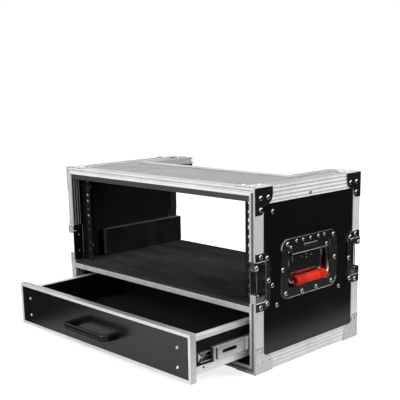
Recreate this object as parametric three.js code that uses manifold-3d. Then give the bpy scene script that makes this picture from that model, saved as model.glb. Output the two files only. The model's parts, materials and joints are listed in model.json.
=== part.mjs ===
// Road case body with a drawer: a rack space over one drawer, lids off, drawer part open.
// Millimetres, +X right, +Y to the back, +Z up. Origin: middle of the bare underside.
import * as THREE from 'three'
import { mergeVertices } from 'three/addons/utils/BufferGeometryUtils.js'
import Module from 'manifold-3d'

const wasm = await Module()
wasm.setup()

// Driving sizes of the body, over the aluminium edging
const width = 540
const depth = 305
const height = 330
const boardThick = 11.5
const metalThick = 1.25
const gap = 0.3
const overrun = 5
const revealHeight = 0.3
const revealRound = 17

// How far the drawer and its slides stand open in the resting pose
const middleOut = 110
const drawerOnMiddle = 31.5

// Open rim of the body: an extrusion with a groove between two lips
const rim = {
  flange: 22,
  innerFlange: 20,
  seat: 6.5,
  outerLip: 3.5,
  groove: 5.3,
  grooveDepth: 5,
  softEdge: 0.7,
  outerRibs: 3,
  innerRibs: 3,
}
const rib = { width: 3, depth: 0.6 }
const innerRib = { width: 3.4, depth: 0.7 }

// Angle along the four long edges
const angle = { leg: 29.5, softEdge: 1.5, ribs: 4 }

// Corner bracket: a long leg along the depth and a tall leg along the rim
const bracket = {
  sheet: 1.2,
  longLeg: 45.5,
  tallLeg: 48,
  band: 31,
  post: 21.5,
  bandRound: 18,
  postRound: 8,
  waist: 3.5,
}

// Recessed latch plate at each rim post
const latch = {
  sheet: 1.2,
  wall: 1,
  halfHeight: 51.6,
  deep: 39,
  round: 19,
  pocketHalf: 36,
  pocketDeep: 27,
  floorLift: 0.25,
  keeperHalf: 25,
  keeperEarThick: 3,
  keeperFrom: 8,
  keeperTo: 12,
  keeperRise: 8.5,
  tabTall: 15,
  bar: 1.6,
  eyeRadius: 5.2,
  eyeHole: 2.3,
  eyeOut: 2.6,
  eyeDrop: 9,
}

// Recessed side handle
const handle = {
  sheet: 1.2,
  web: 0.7,
  forward: 2,
  lift: 10.7,
  sideFlange: 20.4,
  highFlange: 15.3,
  lowFlange: 18.9,
  round: 19,
  pocketHalf: 61.3,
  pocketDown: 35.7,
  pocketUp: 39.3,
  pocketRound: 8,
  coverDrop: 14.7,
  coverEndDrop: 4,
  coverInset: 8.8,
  pivotDrop: 9.5,
  pivotOut: 3.85,
  armRoom: 0.9,
  wire: 3.2,
  bend: 7,
  stubInset: 1.5,
  earInset: 11.8,
  earThick: 6,
  earHalf: 6.5,
  gripRadius: 9.2,
  gripRoom: 14,
  gripLift: 9.9,
  gripRest: 0.3,
  gripRing: 5,
  gripRingDepth: 0.8,
  gripRound: 1.6,
  slotHalf: 19.5,
  slotDrop: 2.6,
  slotTall: 5,
  slotProud: 0.8,
}

// Shelf between the drawer and the rack space
const shelf = { low: 111, frontTall: 10.5, lip: 12, lining: 6 }

// Board under the top panel
const topBoard = { thick: 10 }

// Cut-out at the back of the top
const notch = { stub: 73.5, deep: 126, flange: 22, ribs: 3 }

// Rack rails
const rackUnitHeight = 44.45
const rackHoleStep = 15.875
const rackHoleEdge = 6.35
const rail = {
  faceWide: 32.25,
  fromFront: 25,
  sheet: 2,
  deep: 30,
  bendRadius: 4,
  holeRadius: 2.5,
  holeIn: 7.7,
  boltIn: 21.5,
  boltRadius: 3,
  boltLow: 25.6,
  boltHigh: 20.8,
}

// Blocks on the side walls that the equipment rests against
const block = { thick: 16, tall: 58.7, fromFront: 75 }

// Board behind the drawer
const bayBack = { thick: 9.5 }

// Drawer slides, three members nested across the space beside the drawer
const slide = {
  start: 22,
  rearGap: 3.2,
  centre: 57.3,
  space: 12.75,
  sheet: 1.2,
  outerHalf: 17.5,
  outerDeep: 9.6,
  outerLip: 2.6,
  middleHalf: 12.5,
  middleFrom: 3,
  middleTo: 11.2,
  middleLip: 2.2,
  innerHalf: 8.5,
  innerFrom: 5.8,
  innerBack: 4,
  edgeBreak: 0.8,
  slotFrom: 22,
  slotLong: 36,
  slotTall: 6.4,
  slotPitchShare: 0.34,
  slots: 3,
  ballCageShare: 0.416,
  ballStrip: 1,
  ballStripWide: 3,
  ballsPerRow: 4,
  cageMargin: 8,
  stopLong: 5,
  stopProud: 0.8,
  leverFrom: 6,
  leverLong: 52,
  leverTall: 5.2,
  leverThick: 4.4,
  leverHook: 11,
}

// Drawer
const drawer = {
  sideRoom: 1.5,
  roomBelow: 4.4,
  roomAbove: 6.7,
  recess: 0.5,
  thick: 13,
  trimFace: 6,
  sideThick: 12,
  boxUp: 9.6,
  boxDown: 10.3,
  boxShort: 1,
  capSheet: 1.2,
  capSkirt: 7.2,
  footSkirt: 13.5,
  bottomThick: 6,
}
const pull = {
  halfLength: 62.5,
  reach: 33,
  bar: 9,
  arm: 10,
  tall: 12.4,
  outerRound: 15,
  innerRound: 7,
  edge: 1.6,
  drop: 0.85,
}

// Places that follow from the sizes above
const front = -depth / 2
const back = depth / 2
const sideOut = width / 2
const panelOut = sideOut - metalThick
const wallIn = panelOut - boardThick
const rimThick = boardThick + 2 * metalThick
const lipIn = sideOut - rimThick
const shelfTop = shelf.low + shelf.frontTall
const liningTop = shelfTop + shelf.lining
const topLow = height - rimThick
const rackLow = liningTop + gap
const rackHigh = topLow - topBoard.thick - gap
const rackUnits = Math.floor((rackHigh + gap - rackLow) / rackUnitHeight)
const railFace = wallIn - rail.faceWide
const notchHalf = sideOut - notch.stub
const latchCentre = height / 2
const handleZ = height / 2 + handle.lift
const pocketLow = handleZ - handle.pocketDown
const pocketHigh = handleZ + handle.pocketUp
const handleFloor = wallIn + handle.web + gap
const coverLow = pocketHigh - handle.coverDrop
const coverEnd = pocketHigh - handle.coverEndDrop
const coverHalf = handle.pocketHalf - handle.coverInset
const pivotHeight = pocketHigh - handle.pivotDrop
const slotHeight = pocketHigh - handle.slotDrop
const armSpread = handle.pocketHalf - handle.wire - handle.armRoom
const earFar = handle.pocketHalf - handle.earInset
const earNear = earFar - handle.earThick
const stubEnd = earNear - handle.stubInset
const gripHalf = armSpread - handle.gripRoom
const gripHeight = pocketLow + handle.gripLift
const slideX = wallIn - slide.space
const slideRear = rim.innerFlange + gap + bayBack.thick + slide.rearGap
const slideLength = depth - slide.start - slideRear
const ballCage = slide.ballCageShare * slideLength
const drawerHalf = lipIn - drawer.sideRoom
const drawerLow = rimThick + drawer.roomBelow
const drawerHigh = shelf.low - drawer.roomAbove
const boxLow = drawerLow + drawer.boxUp
const boxHigh = drawerHigh - drawer.boxDown

// Finishes
const finishes = {
  laminate: { color: 0x0e0e10, roughness: 0.35, metalness: 0 },
  aluminium: { color: 0xc9cbcd, roughness: 0.38, metalness: 0.9 },
  chrome: { color: 0xdadcdf, roughness: 0.08, metalness: 1 },
  zinc: { color: 0xb9bcc0, roughness: 0.3, metalness: 1 },
  blackSteel: { color: 0x121214, roughness: 0.5, metalness: 0.2 },
  foam: { color: 0x2a2a2c, roughness: 0.95, metalness: 0 },
  redRubber: { color: 0xc4302a, roughness: 0.55, metalness: 0 },
  blackPlastic: { color: 0x151517, roughness: 0.4, metalness: 0 },
}

// A closed outline from a list of corners
function outline(corners) {
  return new THREE.Shape(corners.map(([a, b]) => new THREE.Vector2(a, b)))
}

function rectangle(a0, a1, b0, b1) {
  return outline([[a0, b0], [a1, b0], [a1, b1], [a0, b1]])
}

// Points of an arc round a centre, from one angle to another, in quarter turns
function arc(a, b, radius, fromQuarter, toQuarter, steps = 4) {
  const points = []
  for (let i = 0; i <= steps; i++) {
    const turn = (Math.PI / 2) * (fromQuarter + ((toQuarter - fromQuarter) * i) / steps)
    points.push([a + radius * Math.cos(turn), b + radius * Math.sin(turn)])
  }
  return points
}

function roundedRectangle(a0, a1, b0, b1, radius, steps = 4) {
  return [
    ...arc(a1 - radius, b1 - radius, radius, 0, 1, steps),
    ...arc(a0 + radius, b1 - radius, radius, 1, 2, steps),
    ...arc(a0 + radius, b0 + radius, radius, 2, 3, steps),
    ...arc(a1 - radius, b0 + radius, radius, 3, 4, steps),
  ]
}

// Evenly spaced shallow V grooves across a straight face, cut towards the given side
function grooved(from, to, count, groove, into) {
  const run = [to[0] - from[0], to[1] - from[1]]
  const length = Math.hypot(run[0], run[1])
  const along = [run[0] / length, run[1] / length]
  const points = [from]
  for (let i = 1; i <= count; i++) {
    const middle = (length * (i - 0.5)) / count
    for (const [step, sink] of [[-groove.width / 2, 0], [0, groove.depth], [groove.width / 2, 0]]) {
      points.push([
        from[0] + along[0] * (middle + step) + into[0] * sink,
        from[1] + along[1] * (middle + step) + into[1] * sink,
      ])
    }
  }
  points.push(to)
  return points
}

// Turn a flat list of triangles round, for shapes that a mirror has turned inside out
function flipped(geometry) {
  const order = geometry.index
    ? Array.from(geometry.index.array)
    : Array.from({ length: geometry.attributes.position.count }, (_, i) => i)
  for (let i = 0; i < order.length; i += 3) {
    const first = order[i]
    order[i] = order[i + 2]
    order[i + 2] = first
  }
  geometry.setIndex(order)
  return geometry
}

// Put a shape in place: its own three axes run along u, v and w from the origin given
function placed(geometry, origin, u, v, w) {
  const matrix = new THREE.Matrix4().makeBasis(
    new THREE.Vector3(...u),
    new THREE.Vector3(...v),
    new THREE.Vector3(...w),
  )
  const inverted = matrix.determinant() < 0
  matrix.setPosition(...origin)
  geometry.applyMatrix4(matrix)
  return inverted ? flipped(geometry) : geometry
}

function raised(shape, length) {
  return new THREE.ExtrudeGeometry(shape, { depth: length, bevelEnabled: false, curveSegments: 4 })
}

// An outline in X and Y, raised from one height to another
function raisedZ(shape, low, high) {
  return placed(raised(shape, high - low), [0, 0, low], [1, 0, 0], [0, 1, 0], [0, 0, 1])
}

// An outline in Y and Z, raised along X
function raisedX(shape, low, high) {
  return placed(raised(shape, high - low), [low, 0, 0], [0, 1, 0], [0, 0, 1], [1, 0, 0])
}

// An outline in X and Z, raised along Y
function raisedY(shape, low, high) {
  return placed(raised(shape, high - low), [0, low, 0], [1, 0, 0], [0, 0, 1], [0, 1, 0])
}

function box(x0, x1, y0, y1, z0, z1) {
  const geometry = new THREE.BoxGeometry(x1 - x0, y1 - y0, z1 - z0)
  return geometry.translate((x0 + x1) / 2, (y0 + y1) / 2, (z0 + z1) / 2)
}

function mirroredX(geometry) {
  return placed(geometry.clone(), [0, 0, 0], [-1, 0, 0], [0, 1, 0], [0, 0, 1])
}

function mirroredY(geometry) {
  return placed(geometry.clone(), [0, 0, 0], [1, 0, 0], [0, -1, 0], [0, 0, 1])
}

function asSolid(geometry) {
  const bare = geometry.clone()
  bare.deleteAttribute('normal')
  bare.deleteAttribute('uv')
  const merged = mergeVertices(bare)
  return new wasm.Manifold(new wasm.Mesh({
    numProp: 3,
    vertProperties: new Float32Array(merged.attributes.position.array),
    triVerts: new Uint32Array(merged.index.array),
  }))
}

function asGeometry(solid) {
  const mesh = solid.getMesh()
  const geometry = new THREE.BufferGeometry()
  const points = new Float32Array(mesh.numVert * 3)
  for (let i = 0; i < mesh.numVert; i++) {
    for (let k = 0; k < 3; k++) points[3 * i + k] = mesh.vertProperties[mesh.numProp * i + k]
  }
  geometry.setAttribute('position', new THREE.BufferAttribute(points, 3))
  geometry.setIndex(Array.from(mesh.triVerts))
  return geometry
}

function joined(...pieces) {
  return asGeometry(pieces.map(asSolid).reduce((sum, piece) => sum.add(piece)))
}

function without(body, ...tools) {
  return asGeometry(tools.map(asSolid).reduce((rest, tool) => rest.subtract(tool), asSolid(body)))
}

function addPiece(parent, name, geometry, finish) {
  const material = new THREE.MeshStandardMaterial({ ...finishes[finish], name: finish })
  const mesh = new THREE.Mesh(geometry, material)
  mesh.name = name
  parent.add(mesh)
}

function addPair(parent, name, geometry, finish) {
  addPiece(parent, `${name}_right`, geometry, finish)
  addPiece(parent, `${name}_left`, mirroredX(geometry), finish)
}

const roadCase = new THREE.Group()
roadCase.name = 'road_case'
roadCase.position.z = -(metalThick - revealHeight)

// Latch pocket, as the space it needs in the rim and the side panel
const latchCut = { half: latch.pocketHalf + latch.wall + gap, deep: latch.pocketDeep + latch.wall + gap }

// Handle pocket, as the space it needs in the side panel
const handleY = -handle.forward
const handleCut = roundedRectangle(
  handleY - handle.pocketHalf - handle.sheet - gap,
  handleY + handle.pocketHalf + handle.sheet + gap,
  pocketLow - handle.sheet - gap,
  pocketHigh + handle.sheet + gap,
  handle.pocketRound,
)

// Side panels, notched for the latches and hollowed for the handle but for a thin web
function sidePanel() {
  const flat = raisedX(
    rectangle(front + rim.seat, back - rim.seat, metalThick, height - metalThick),
    wallIn,
    panelOut,
  )
  const frontNotch = box(
    wallIn - overrun,
    panelOut + overrun,
    front - overrun,
    front + latchCut.deep,
    latchCentre - latchCut.half,
    latchCentre + latchCut.half,
  )
  const hollow = raisedX(outline(handleCut), wallIn + handle.web, panelOut + overrun)
  return without(flat, frontNotch, mirroredY(frontNotch), hollow)
}

// Bare middle of the top and bottom panels, rounded to clear the corner brackets
function bareMiddle(low, high) {
  const half = sideOut - angle.leg - gap
  const end = back - rim.flange - gap
  return raisedZ(outline(roundedRectangle(-half, half, -end, end, revealRound)), low, high)
}

// Bottom panel; its bare middle stands a little proud of the rebate under the edging
function bottomPanel() {
  return joined(
    box(-wallIn, wallIn, front + rim.seat, back - rim.seat, metalThick, metalThick + boardThick),
    bareMiddle(metalThick - revealHeight, metalThick + boardThick),
  )
}

// Top panel, with the cut-out at its back edge
function topPanel() {
  const high = height - metalThick
  const sheet = box(-wallIn, wallIn, front + rim.seat, back - rim.seat, high - boardThick, high)
  const bare = without(
    bareMiddle(high - boardThick, high + revealHeight),
    box(
      -notchHalf - notch.flange - gap,
      notchHalf + notch.flange + gap,
      back - notch.deep - notch.flange - gap,
      back + overrun,
      high,
      high + overrun,
    ),
  )
  return without(joined(sheet, bare), notchSpace(high - boardThick - overrun, high + overrun))
}

// The cut-out in boards behind its edging, between two heights
function notchSpace(low, high) {
  const half = notchHalf + metalThick
  return box(-half, half, back - notch.deep - metalThick, back + overrun, low, high)
}

addPair(roadCase, 'side_panel', sidePanel(), 'laminate')
addPiece(roadCase, 'bottom_panel', bottomPanel(), 'laminate')
addPiece(roadCase, 'top_panel', topPanel(), 'laminate')

// Edging angle along one long edge, with shallow ribs on both faces
function edgingAngle() {
  const { leg, softEdge, ribs } = angle
  const section = [
    ...grooved([sideOut, height - leg], [sideOut, height - softEdge], ribs, rib, [-1, 0]),
    ...grooved([sideOut - softEdge, height], [sideOut - leg, height], ribs, rib, [0, -1]),
    [sideOut - leg, height - metalThick],
    [panelOut, height - metalThick],
    [panelOut, height - leg],
  ]
  return raisedY(outline(section), front + rim.flange + gap, back - rim.flange - gap)
}

function upsideDown(geometry) {
  return placed(geometry.clone(), [0, 0, height], [1, 0, 0], [0, 1, 0], [0, 0, -1])
}

addPair(roadCase, 'top_edging', edgingAngle(), 'aluminium')
addPair(roadCase, 'bottom_edging', upsideDown(edgingAngle()), 'aluminium')

// Rim section: u runs in from the outer face, v runs in from the open rim plane
function rimSection() {
  const lipEnd = rim.outerLip
  const grooveEnd = rim.outerLip + rim.groove
  const soft = rim.softEdge
  return [
    ...grooved([0, rim.flange], [0, soft], rim.outerRibs, rib, [1, 0]),
    [soft, 0],
    [lipEnd, 0],
    [lipEnd, rim.grooveDepth],
    [grooveEnd, rim.grooveDepth],
    [grooveEnd, 0],
    [rimThick - soft, 0],
    ...grooved([rimThick, soft], [rimThick, rim.innerFlange], rim.innerRibs, innerRib, [-1, 0]),
    [rimThick - metalThick, rim.innerFlange],
    [rimThick - metalThick, rim.seat],
    [metalThick, rim.seat],
    [metalThick, rim.flange],
  ]
}

// A length of rim whose ends are cut along the lines that the two end rules give
function rimLength(length, atStart, atEnd) {
  const geometry = raised(outline(rimSection()), length)
  const points = geometry.attributes.position
  for (let i = 0; i < points.count; i++) {
    const u = points.getX(i)
    const nearStart = points.getZ(i) < length / 2
    points.setZ(i, nearStart ? atStart(u) : length - atEnd(u))
  }
  return geometry
}

const mitre = (u) => u + gap / 2
const square = () => 0

// Upright of the rim, cut away round the latch pocket but for a strip of its inner flange
function rimPost() {
  const post = placed(
    rimLength(height, mitre, mitre),
    [sideOut, front, 0],
    [-1, 0, 0],
    [0, 1, 0],
    [0, 0, 1],
  )
  const stripDeep = rim.innerFlange - innerRib.width
  const low = latchCentre - latchCut.half
  const high = latchCentre + latchCut.half
  return without(
    post,
    box(lipIn - overrun, sideOut + overrun, front - overrun, front + stripDeep, low, high),
    box(wallIn, sideOut + overrun, front, front + rim.flange + overrun, low, high),
  )
}

function rimRail(low) {
  const up = low ? 1 : -1
  const edge = low ? 0 : height
  return placed(
    rimLength(width, mitre, mitre),
    [-sideOut, front, edge],
    [0, 0, up],
    [0, 1, 0],
    [1, 0, 0],
  )
}

addPair(roadCase, 'front_rim', rimPost(), 'aluminium')
addPiece(roadCase, 'front_rim_top', rimRail(false), 'aluminium')
addPiece(roadCase, 'front_rim_bottom', rimRail(true), 'aluminium')
addPair(roadCase, 'rear_rim', mirroredY(rimPost()), 'aluminium')
addPiece(roadCase, 'rear_rim_bottom', mirroredY(rimRail(true)), 'aluminium')

// Rim beside the cut-out in the top, and the ribbed angle round the cut-out, as one frame
function rearTopFrame() {
  const stub = placed(
    rimLength(sideOut - notchHalf, square, mitre),
    [notchHalf, back, height],
    [0, 0, -1],
    [0, -1, 0],
    [1, 0, 0],
  )
  const outer = notchHalf + notch.flange
  const start = back - notch.deep - notch.flange
  const end = back - rim.flange
  const skirtOut = notchHalf + metalThick
  const skirtStart = start + notch.flange - metalThick
  const frame = joined(
    box(-outer, outer, start, end, height - metalThick, height),
    box(-skirtOut, skirtOut, skirtStart, end, topLow + metalThick, height),
  )
  const opening = box(-notchHalf, notchHalf, back - notch.deep, back, topLow, height + overrun)
  const ribCuts = []
  for (let i = 1; i <= notch.ribs; i++) {
    const inset = (notch.flange * (i - 0.5)) / notch.ribs
    const half = notchHalf + inset
    const line = back - notch.deep - inset
    const cross = outline([
      [-rib.width / 2, height],
      [0, height - rib.depth],
      [rib.width / 2, height],
      [rib.width / 2, height + overrun],
      [-rib.width / 2, height + overrun],
    ])
    ribCuts.push(raisedX(cross, -half - rib.width / 2, half + rib.width / 2).translate(0, line, 0))
    for (const side of [-half, half]) {
      ribCuts.push(raisedY(cross, line, end + overrun).translate(side, 0, 0))
    }
  }
  return joined(without(frame, opening, ...ribCuts), stub, mirroredX(stub))
}

addPiece(roadCase, 'rear_rim_top', rearTopFrame(), 'aluminium')

// Corner bracket: the same outline folded over the side and over the top
function bracketOutline() {
  const b = bracket
  return [
    [0, 0],
    [b.longLeg, 0],
    ...arc(b.longLeg - b.bandRound, b.band - b.bandRound, b.bandRound, 0, 1, 5),
    [b.post, b.band + b.waist],
    ...arc(b.post - b.postRound, b.tallLeg - b.postRound, b.postRound, 0, 1, 3),
    [0, b.tallLeg],
  ]
}

function cornerBracket() {
  const plate = () => raised(outline(bracketOutline()), bracket.sheet)
  const side = placed(plate(), [sideOut, front, height], [0, 1, 0], [0, 0, -1], [1, 0, 0])
  const top = placed(plate(), [sideOut, front, height], [0, 1, 0], [-1, 0, 0], [0, 0, 1])
  const fold = raisedY(
    outline([
      [sideOut - bracket.sheet, height],
      [sideOut, height - bracket.sheet],
      [sideOut + bracket.sheet, height - bracket.sheet],
      [sideOut + bracket.sheet, height],
      [sideOut, height + bracket.sheet],
      [sideOut - bracket.sheet, height + bracket.sheet],
    ]),
    front,
    front + bracket.longLeg,
  )
  const core = edgeCore()
  return without(joined(side, top, fold), core)
}

// Everything inside the edging faces, to keep folded sheet outside them
function edgeCore() {
  return box(0, sideOut, front - overrun, back + overrun, 0, height)
}

addPair(roadCase, 'corner_front_top', cornerBracket(), 'chrome')
addPair(roadCase, 'corner_front_bottom', upsideDown(cornerBracket()), 'chrome')
addPair(roadCase, 'corner_rear_top', mirroredY(cornerBracket()), 'chrome')
addPair(roadCase, 'corner_rear_bottom', mirroredY(upsideDown(cornerBracket())), 'chrome')

// Latch plate: flange on the rim, pocket with a front tab at each end, keeper and padlock eye
function latchPlate() {
  const l = latch
  const floor = wallIn + l.floorLift
  const floorTop = floor + l.sheet
  const low = latchCentre - l.halfHeight
  const high = latchCentre + l.halfHeight
  const inner = front + l.deep
  const flangeOutline = [
    [front + gap, low],
    ...arc(inner - l.round, low + l.round, l.round, 3, 4),
    ...arc(inner - l.round, high - l.round, l.round, 0, 1),
    [front + gap, high],
  ]
  const pocketLow = latchCentre - l.pocketHalf
  const pocketHigh = latchCentre + l.pocketHalf
  const pocketEnd = front + l.pocketDeep
  const flange = raisedX(outline(flangeOutline), sideOut, sideOut + l.sheet)
  const tub = box(
    floor,
    sideOut + l.sheet,
    front + gap,
    pocketEnd + l.wall,
    pocketLow - l.wall,
    pocketHigh + l.wall,
  )
  const hollow = box(
    floorTop,
    sideOut + overrun,
    front - overrun,
    pocketEnd,
    pocketLow,
    pocketHigh,
  )
  const ears = [-1, 1].map((end) => {
    const face = latchCentre + end * l.keeperHalf
    return box(
      floor,
      floorTop + l.keeperRise,
      front + l.keeperFrom,
      front + l.keeperTo,
      Math.min(face, face - end * l.keeperEarThick),
      Math.max(face, face - end * l.keeperEarThick),
    )
  })
  const tabs = [-1, 1].map((end) => {
    const root = latchCentre + end * l.pocketHalf
    const tip = root - end * l.tabTall
    return box(
      floor,
      sideOut + l.sheet,
      front + gap,
      front + gap + l.sheet,
      Math.min(root, tip),
      Math.max(root, tip),
    )
  })
  const bar = box(
    floorTop + l.keeperRise - l.bar,
    floorTop + l.keeperRise,
    front + l.keeperFrom,
    front + l.keeperFrom + l.bar,
    latchCentre - l.keeperHalf,
    latchCentre + l.keeperHalf,
  )
  const eyeY = front + l.eyeOut
  const eyeZ = pocketHigh - l.eyeDrop
  const eye = raisedX(
    outline([
      ...arc(eyeY, eyeZ, l.eyeRadius, 2, 4, 8),
      [eyeY + l.eyeRadius, pocketHigh + l.wall],
      [eyeY - l.eyeRadius, pocketHigh + l.wall],
    ]),
    sideOut,
    sideOut + l.sheet,
  )
  const eyeHole = raisedX(
    outline(arc(eyeY, eyeZ, l.eyeHole, 0, 4, 10).slice(1)),
    sideOut - overrun,
    sideOut + overrun,
  )
  const dish = without(joined(flange, tub), hollow)
  return without(joined(dish, ...tabs, ...ears, bar, eye), eyeHole)
}

addPair(roadCase, 'latch_plate_front', latchPlate(), 'chrome')
addPair(roadCase, 'latch_plate_rear', mirroredY(latchPlate()), 'chrome')

// Handle dish: flange on the panel, pocket, pivot ears, and the cover over the pivots
function handleDish() {
  const h = handle
  const floorTop = handleFloor + h.sheet
  const faceOut = panelOut + h.sheet
  const left = handleY - h.pocketHalf - h.sideFlange
  const right = handleY + h.pocketHalf + h.sideFlange
  const low = pocketLow - h.lowFlange
  const high = pocketHigh + h.highFlange
  const plate = roundedRectangle(left, right, low, high, h.round)
  const pocket = (grow) => outline(roundedRectangle(
    handleY - h.pocketHalf - grow,
    handleY + h.pocketHalf + grow,
    pocketLow - grow,
    pocketHigh + grow,
    h.pocketRound,
  ))
  const tub = joined(
    raisedX(outline(plate), panelOut, faceOut),
    raisedX(pocket(h.sheet), handleFloor, faceOut),
  )
  const dish = without(tub, raisedX(pocket(0), floorTop, faceOut + overrun))
  const cover = raisedX(
    outline([
      ...arc(right - h.round, high - h.round, h.round, 0, 1),
      ...arc(left + h.round, high - h.round, h.round, 1, 2),
      [left, coverEnd],
      [handleY - coverHalf, coverEnd],
      [handleY - coverHalf, coverLow],
      [handleY + coverHalf, coverLow],
      [handleY + coverHalf, coverEnd],
      [right, coverEnd],
    ]),
    faceOut,
    faceOut + h.sheet,
  )
  const slot = raisedX(
    rectangle(
      handleY - h.slotHalf,
      handleY + h.slotHalf,
      slotHeight - h.slotTall / 2,
      slotHeight + h.slotTall / 2,
    ),
    faceOut,
    faceOut + h.sheet + h.slotProud,
  )
  const pivotX = floorTop + h.pivotOut
  const ears = [-1, 1].map((end) => {
    const near = handleY + end * earNear
    const far = handleY + end * earFar
    const block = box(
      handleFloor,
      faceOut + h.sheet / 2,
      Math.min(near, far),
      Math.max(near, far),
      pivotHeight - h.earHalf,
      pivotHeight + h.earHalf,
    )
    const bore = new THREE.CylinderGeometry(h.wire + gap, h.wire + gap, armSpread, 16)
    bore.translate(pivotX, handleY + end * armSpread, pivotHeight)
    return without(block, bore)
  })
  return joined(dish, cover, slot, ...ears)
}

addPair(roadCase, 'handle_dish', handleDish(), 'chrome')

// The bail's own frame: origin on the pivot line, down runs from the pivot to the grip
function bailFrame() {
  const floorTop = handleFloor + handle.sheet
  const pivot = new THREE.Vector3(floorTop + handle.pivotOut, handleY, pivotHeight)
  const grip = new THREE.Vector3(
    floorTop + handle.gripRest + handle.gripRadius,
    handleY,
    gripHeight,
  )
  const down = grip.clone().sub(pivot)
  return { pivot, reach: down.length(), lean: Math.atan2(down.x, -down.z) }
}

// Straight runs with a rounded bend at each inner corner
function bentPath(corners, radius) {
  const path = new THREE.CurvePath()
  let from = corners[0]
  for (let i = 1; i < corners.length; i++) {
    const corner = corners[i]
    if (i === corners.length - 1) {
      path.add(new THREE.LineCurve3(from, corner))
      break
    }
    const before = from.clone().sub(corner).setLength(radius).add(corner)
    const after = corners[i + 1].clone().sub(corner).setLength(radius).add(corner)
    path.add(new THREE.LineCurve3(from, before))
    path.add(new THREE.QuadraticBezierCurve3(before, corner, after))
    from = after
  }
  return path
}

function bailWire() {
  const h = handle
  const { reach } = bailFrame()
  const corners = [
    [-stubEnd, 0],
    [-armSpread, 0],
    [-armSpread, -reach],
    [armSpread, -reach],
    [armSpread, 0],
    [stubEnd, 0],
  ].map(([y, z]) => new THREE.Vector3(0, y, z))
  const round = outline(arc(0, 0, h.wire, 0, 4, 10).slice(1))
  return new THREE.ExtrudeGeometry(round, { extrudePath: bentPath(corners, h.bend), steps: 60 })
}

// Grip: a tube on the bail with a pair of rings near each end
function handleGrip() {
  const h = handle
  const bore = h.wire + gap
  const profile = [[bore, -gripHalf], [h.gripRadius - h.gripRound, -gripHalf]]
  profile.push([h.gripRadius, -gripHalf + h.gripRound])
  for (const end of [-1, 1]) {
    const middle = end * (gripHalf - 2 * h.gripRing)
    profile.push([h.gripRadius, middle - h.gripRing / 2])
    profile.push([h.gripRadius - h.gripRingDepth, middle])
    profile.push([h.gripRadius, middle + h.gripRing / 2])
  }
  profile.push([h.gripRadius, gripHalf - h.gripRound])
  profile.push([h.gripRadius - h.gripRound, gripHalf], [bore, gripHalf], profile[0])
  const tube = new THREE.LatheGeometry(profile.map(([r, y]) => new THREE.Vector2(r, y)), 20)
  return tube.translate(0, 0, -bailFrame().reach)
}

function addHandle(name, side) {
  const { pivot, lean } = bailFrame()
  const swing = new THREE.Group()
  swing.position.set(side * pivot.x, pivot.y, pivot.z)
  swing.rotation.y = -side * lean
  addPiece(swing, `handle_bail_${name}`, asGeometry(asSolid(bailWire())), 'chrome')
  addPiece(swing, `handle_grip_${name}`, asGeometry(asSolid(handleGrip())), 'redRubber')
  roadCase.add(swing)
}

addHandle('right', 1)
addHandle('left', -1)

// Outline of a board that fills the body between its side walls and steps round the rims
function betweenRims(fromFront, fromBack) {
  const wide = wallIn
  const narrow = lipIn - gap
  const step = rim.innerFlange + gap
  const half = [
    [narrow, front + fromFront],
    [narrow, front + step],
    [wide, front + step],
    [wide, back - step],
    [narrow, back - step],
    [narrow, back - fromBack],
  ]
  const other = half.map(([x, y]) => [-x, y]).reverse()
  return outline([...half, ...other])
}

// Shelf: board, metal strip on its front edge, soft lining
function shelfStrip() {
  const half = lipIn - gap
  return raisedX(
    outline([
      [front, shelf.low],
      [front + shelf.lip, shelf.low],
      [front + shelf.lip, shelf.low + metalThick],
      [front + metalThick, shelf.low + metalThick],
      [front + metalThick, shelfTop],
      [front, shelfTop],
    ]),
    -half,
    half,
  )
}

const shelfBoard = raisedZ(betweenRims(metalThick, gap), shelf.low + metalThick, shelfTop)
addPiece(roadCase, 'shelf_board', shelfBoard, 'laminate')
addPiece(roadCase, 'shelf_strip', shelfStrip(), 'aluminium')
addPiece(roadCase, 'shelf_lining', raisedZ(betweenRims(metalThick, gap), shelfTop, liningTop), 'foam')

// Board under the top, flush with both rims and rebated over their inner flanges
function topLiner() {
  const low = topLow - topBoard.thick
  const step = rim.innerFlange + gap
  return without(
    joined(
      raisedZ(betweenRims(gap, gap), low, topLow),
      box(-lipIn + gap, lipIn - gap, front + step, back - step, low, topLow + metalThick),
    ),
    notchSpace(low - overrun, height),
  )
}

addPiece(roadCase, 'top_board', topLiner(), 'laminate')

// Blocks low on the side walls, behind the rails
function restBlock() {
  const inner = wallIn - block.thick
  const step = back - rim.innerFlange - gap
  return raisedZ(
    outline([
      [inner, front + block.fromFront],
      [wallIn, front + block.fromFront],
      [wallIn, step],
      [lipIn - gap, step],
      [lipIn - gap, back - gap],
      [inner, back - gap],
    ]),
    rackLow,
    rackLow + block.tall,
  )
}

addPair(roadCase, 'rest_block', restBlock(), 'foam')

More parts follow.
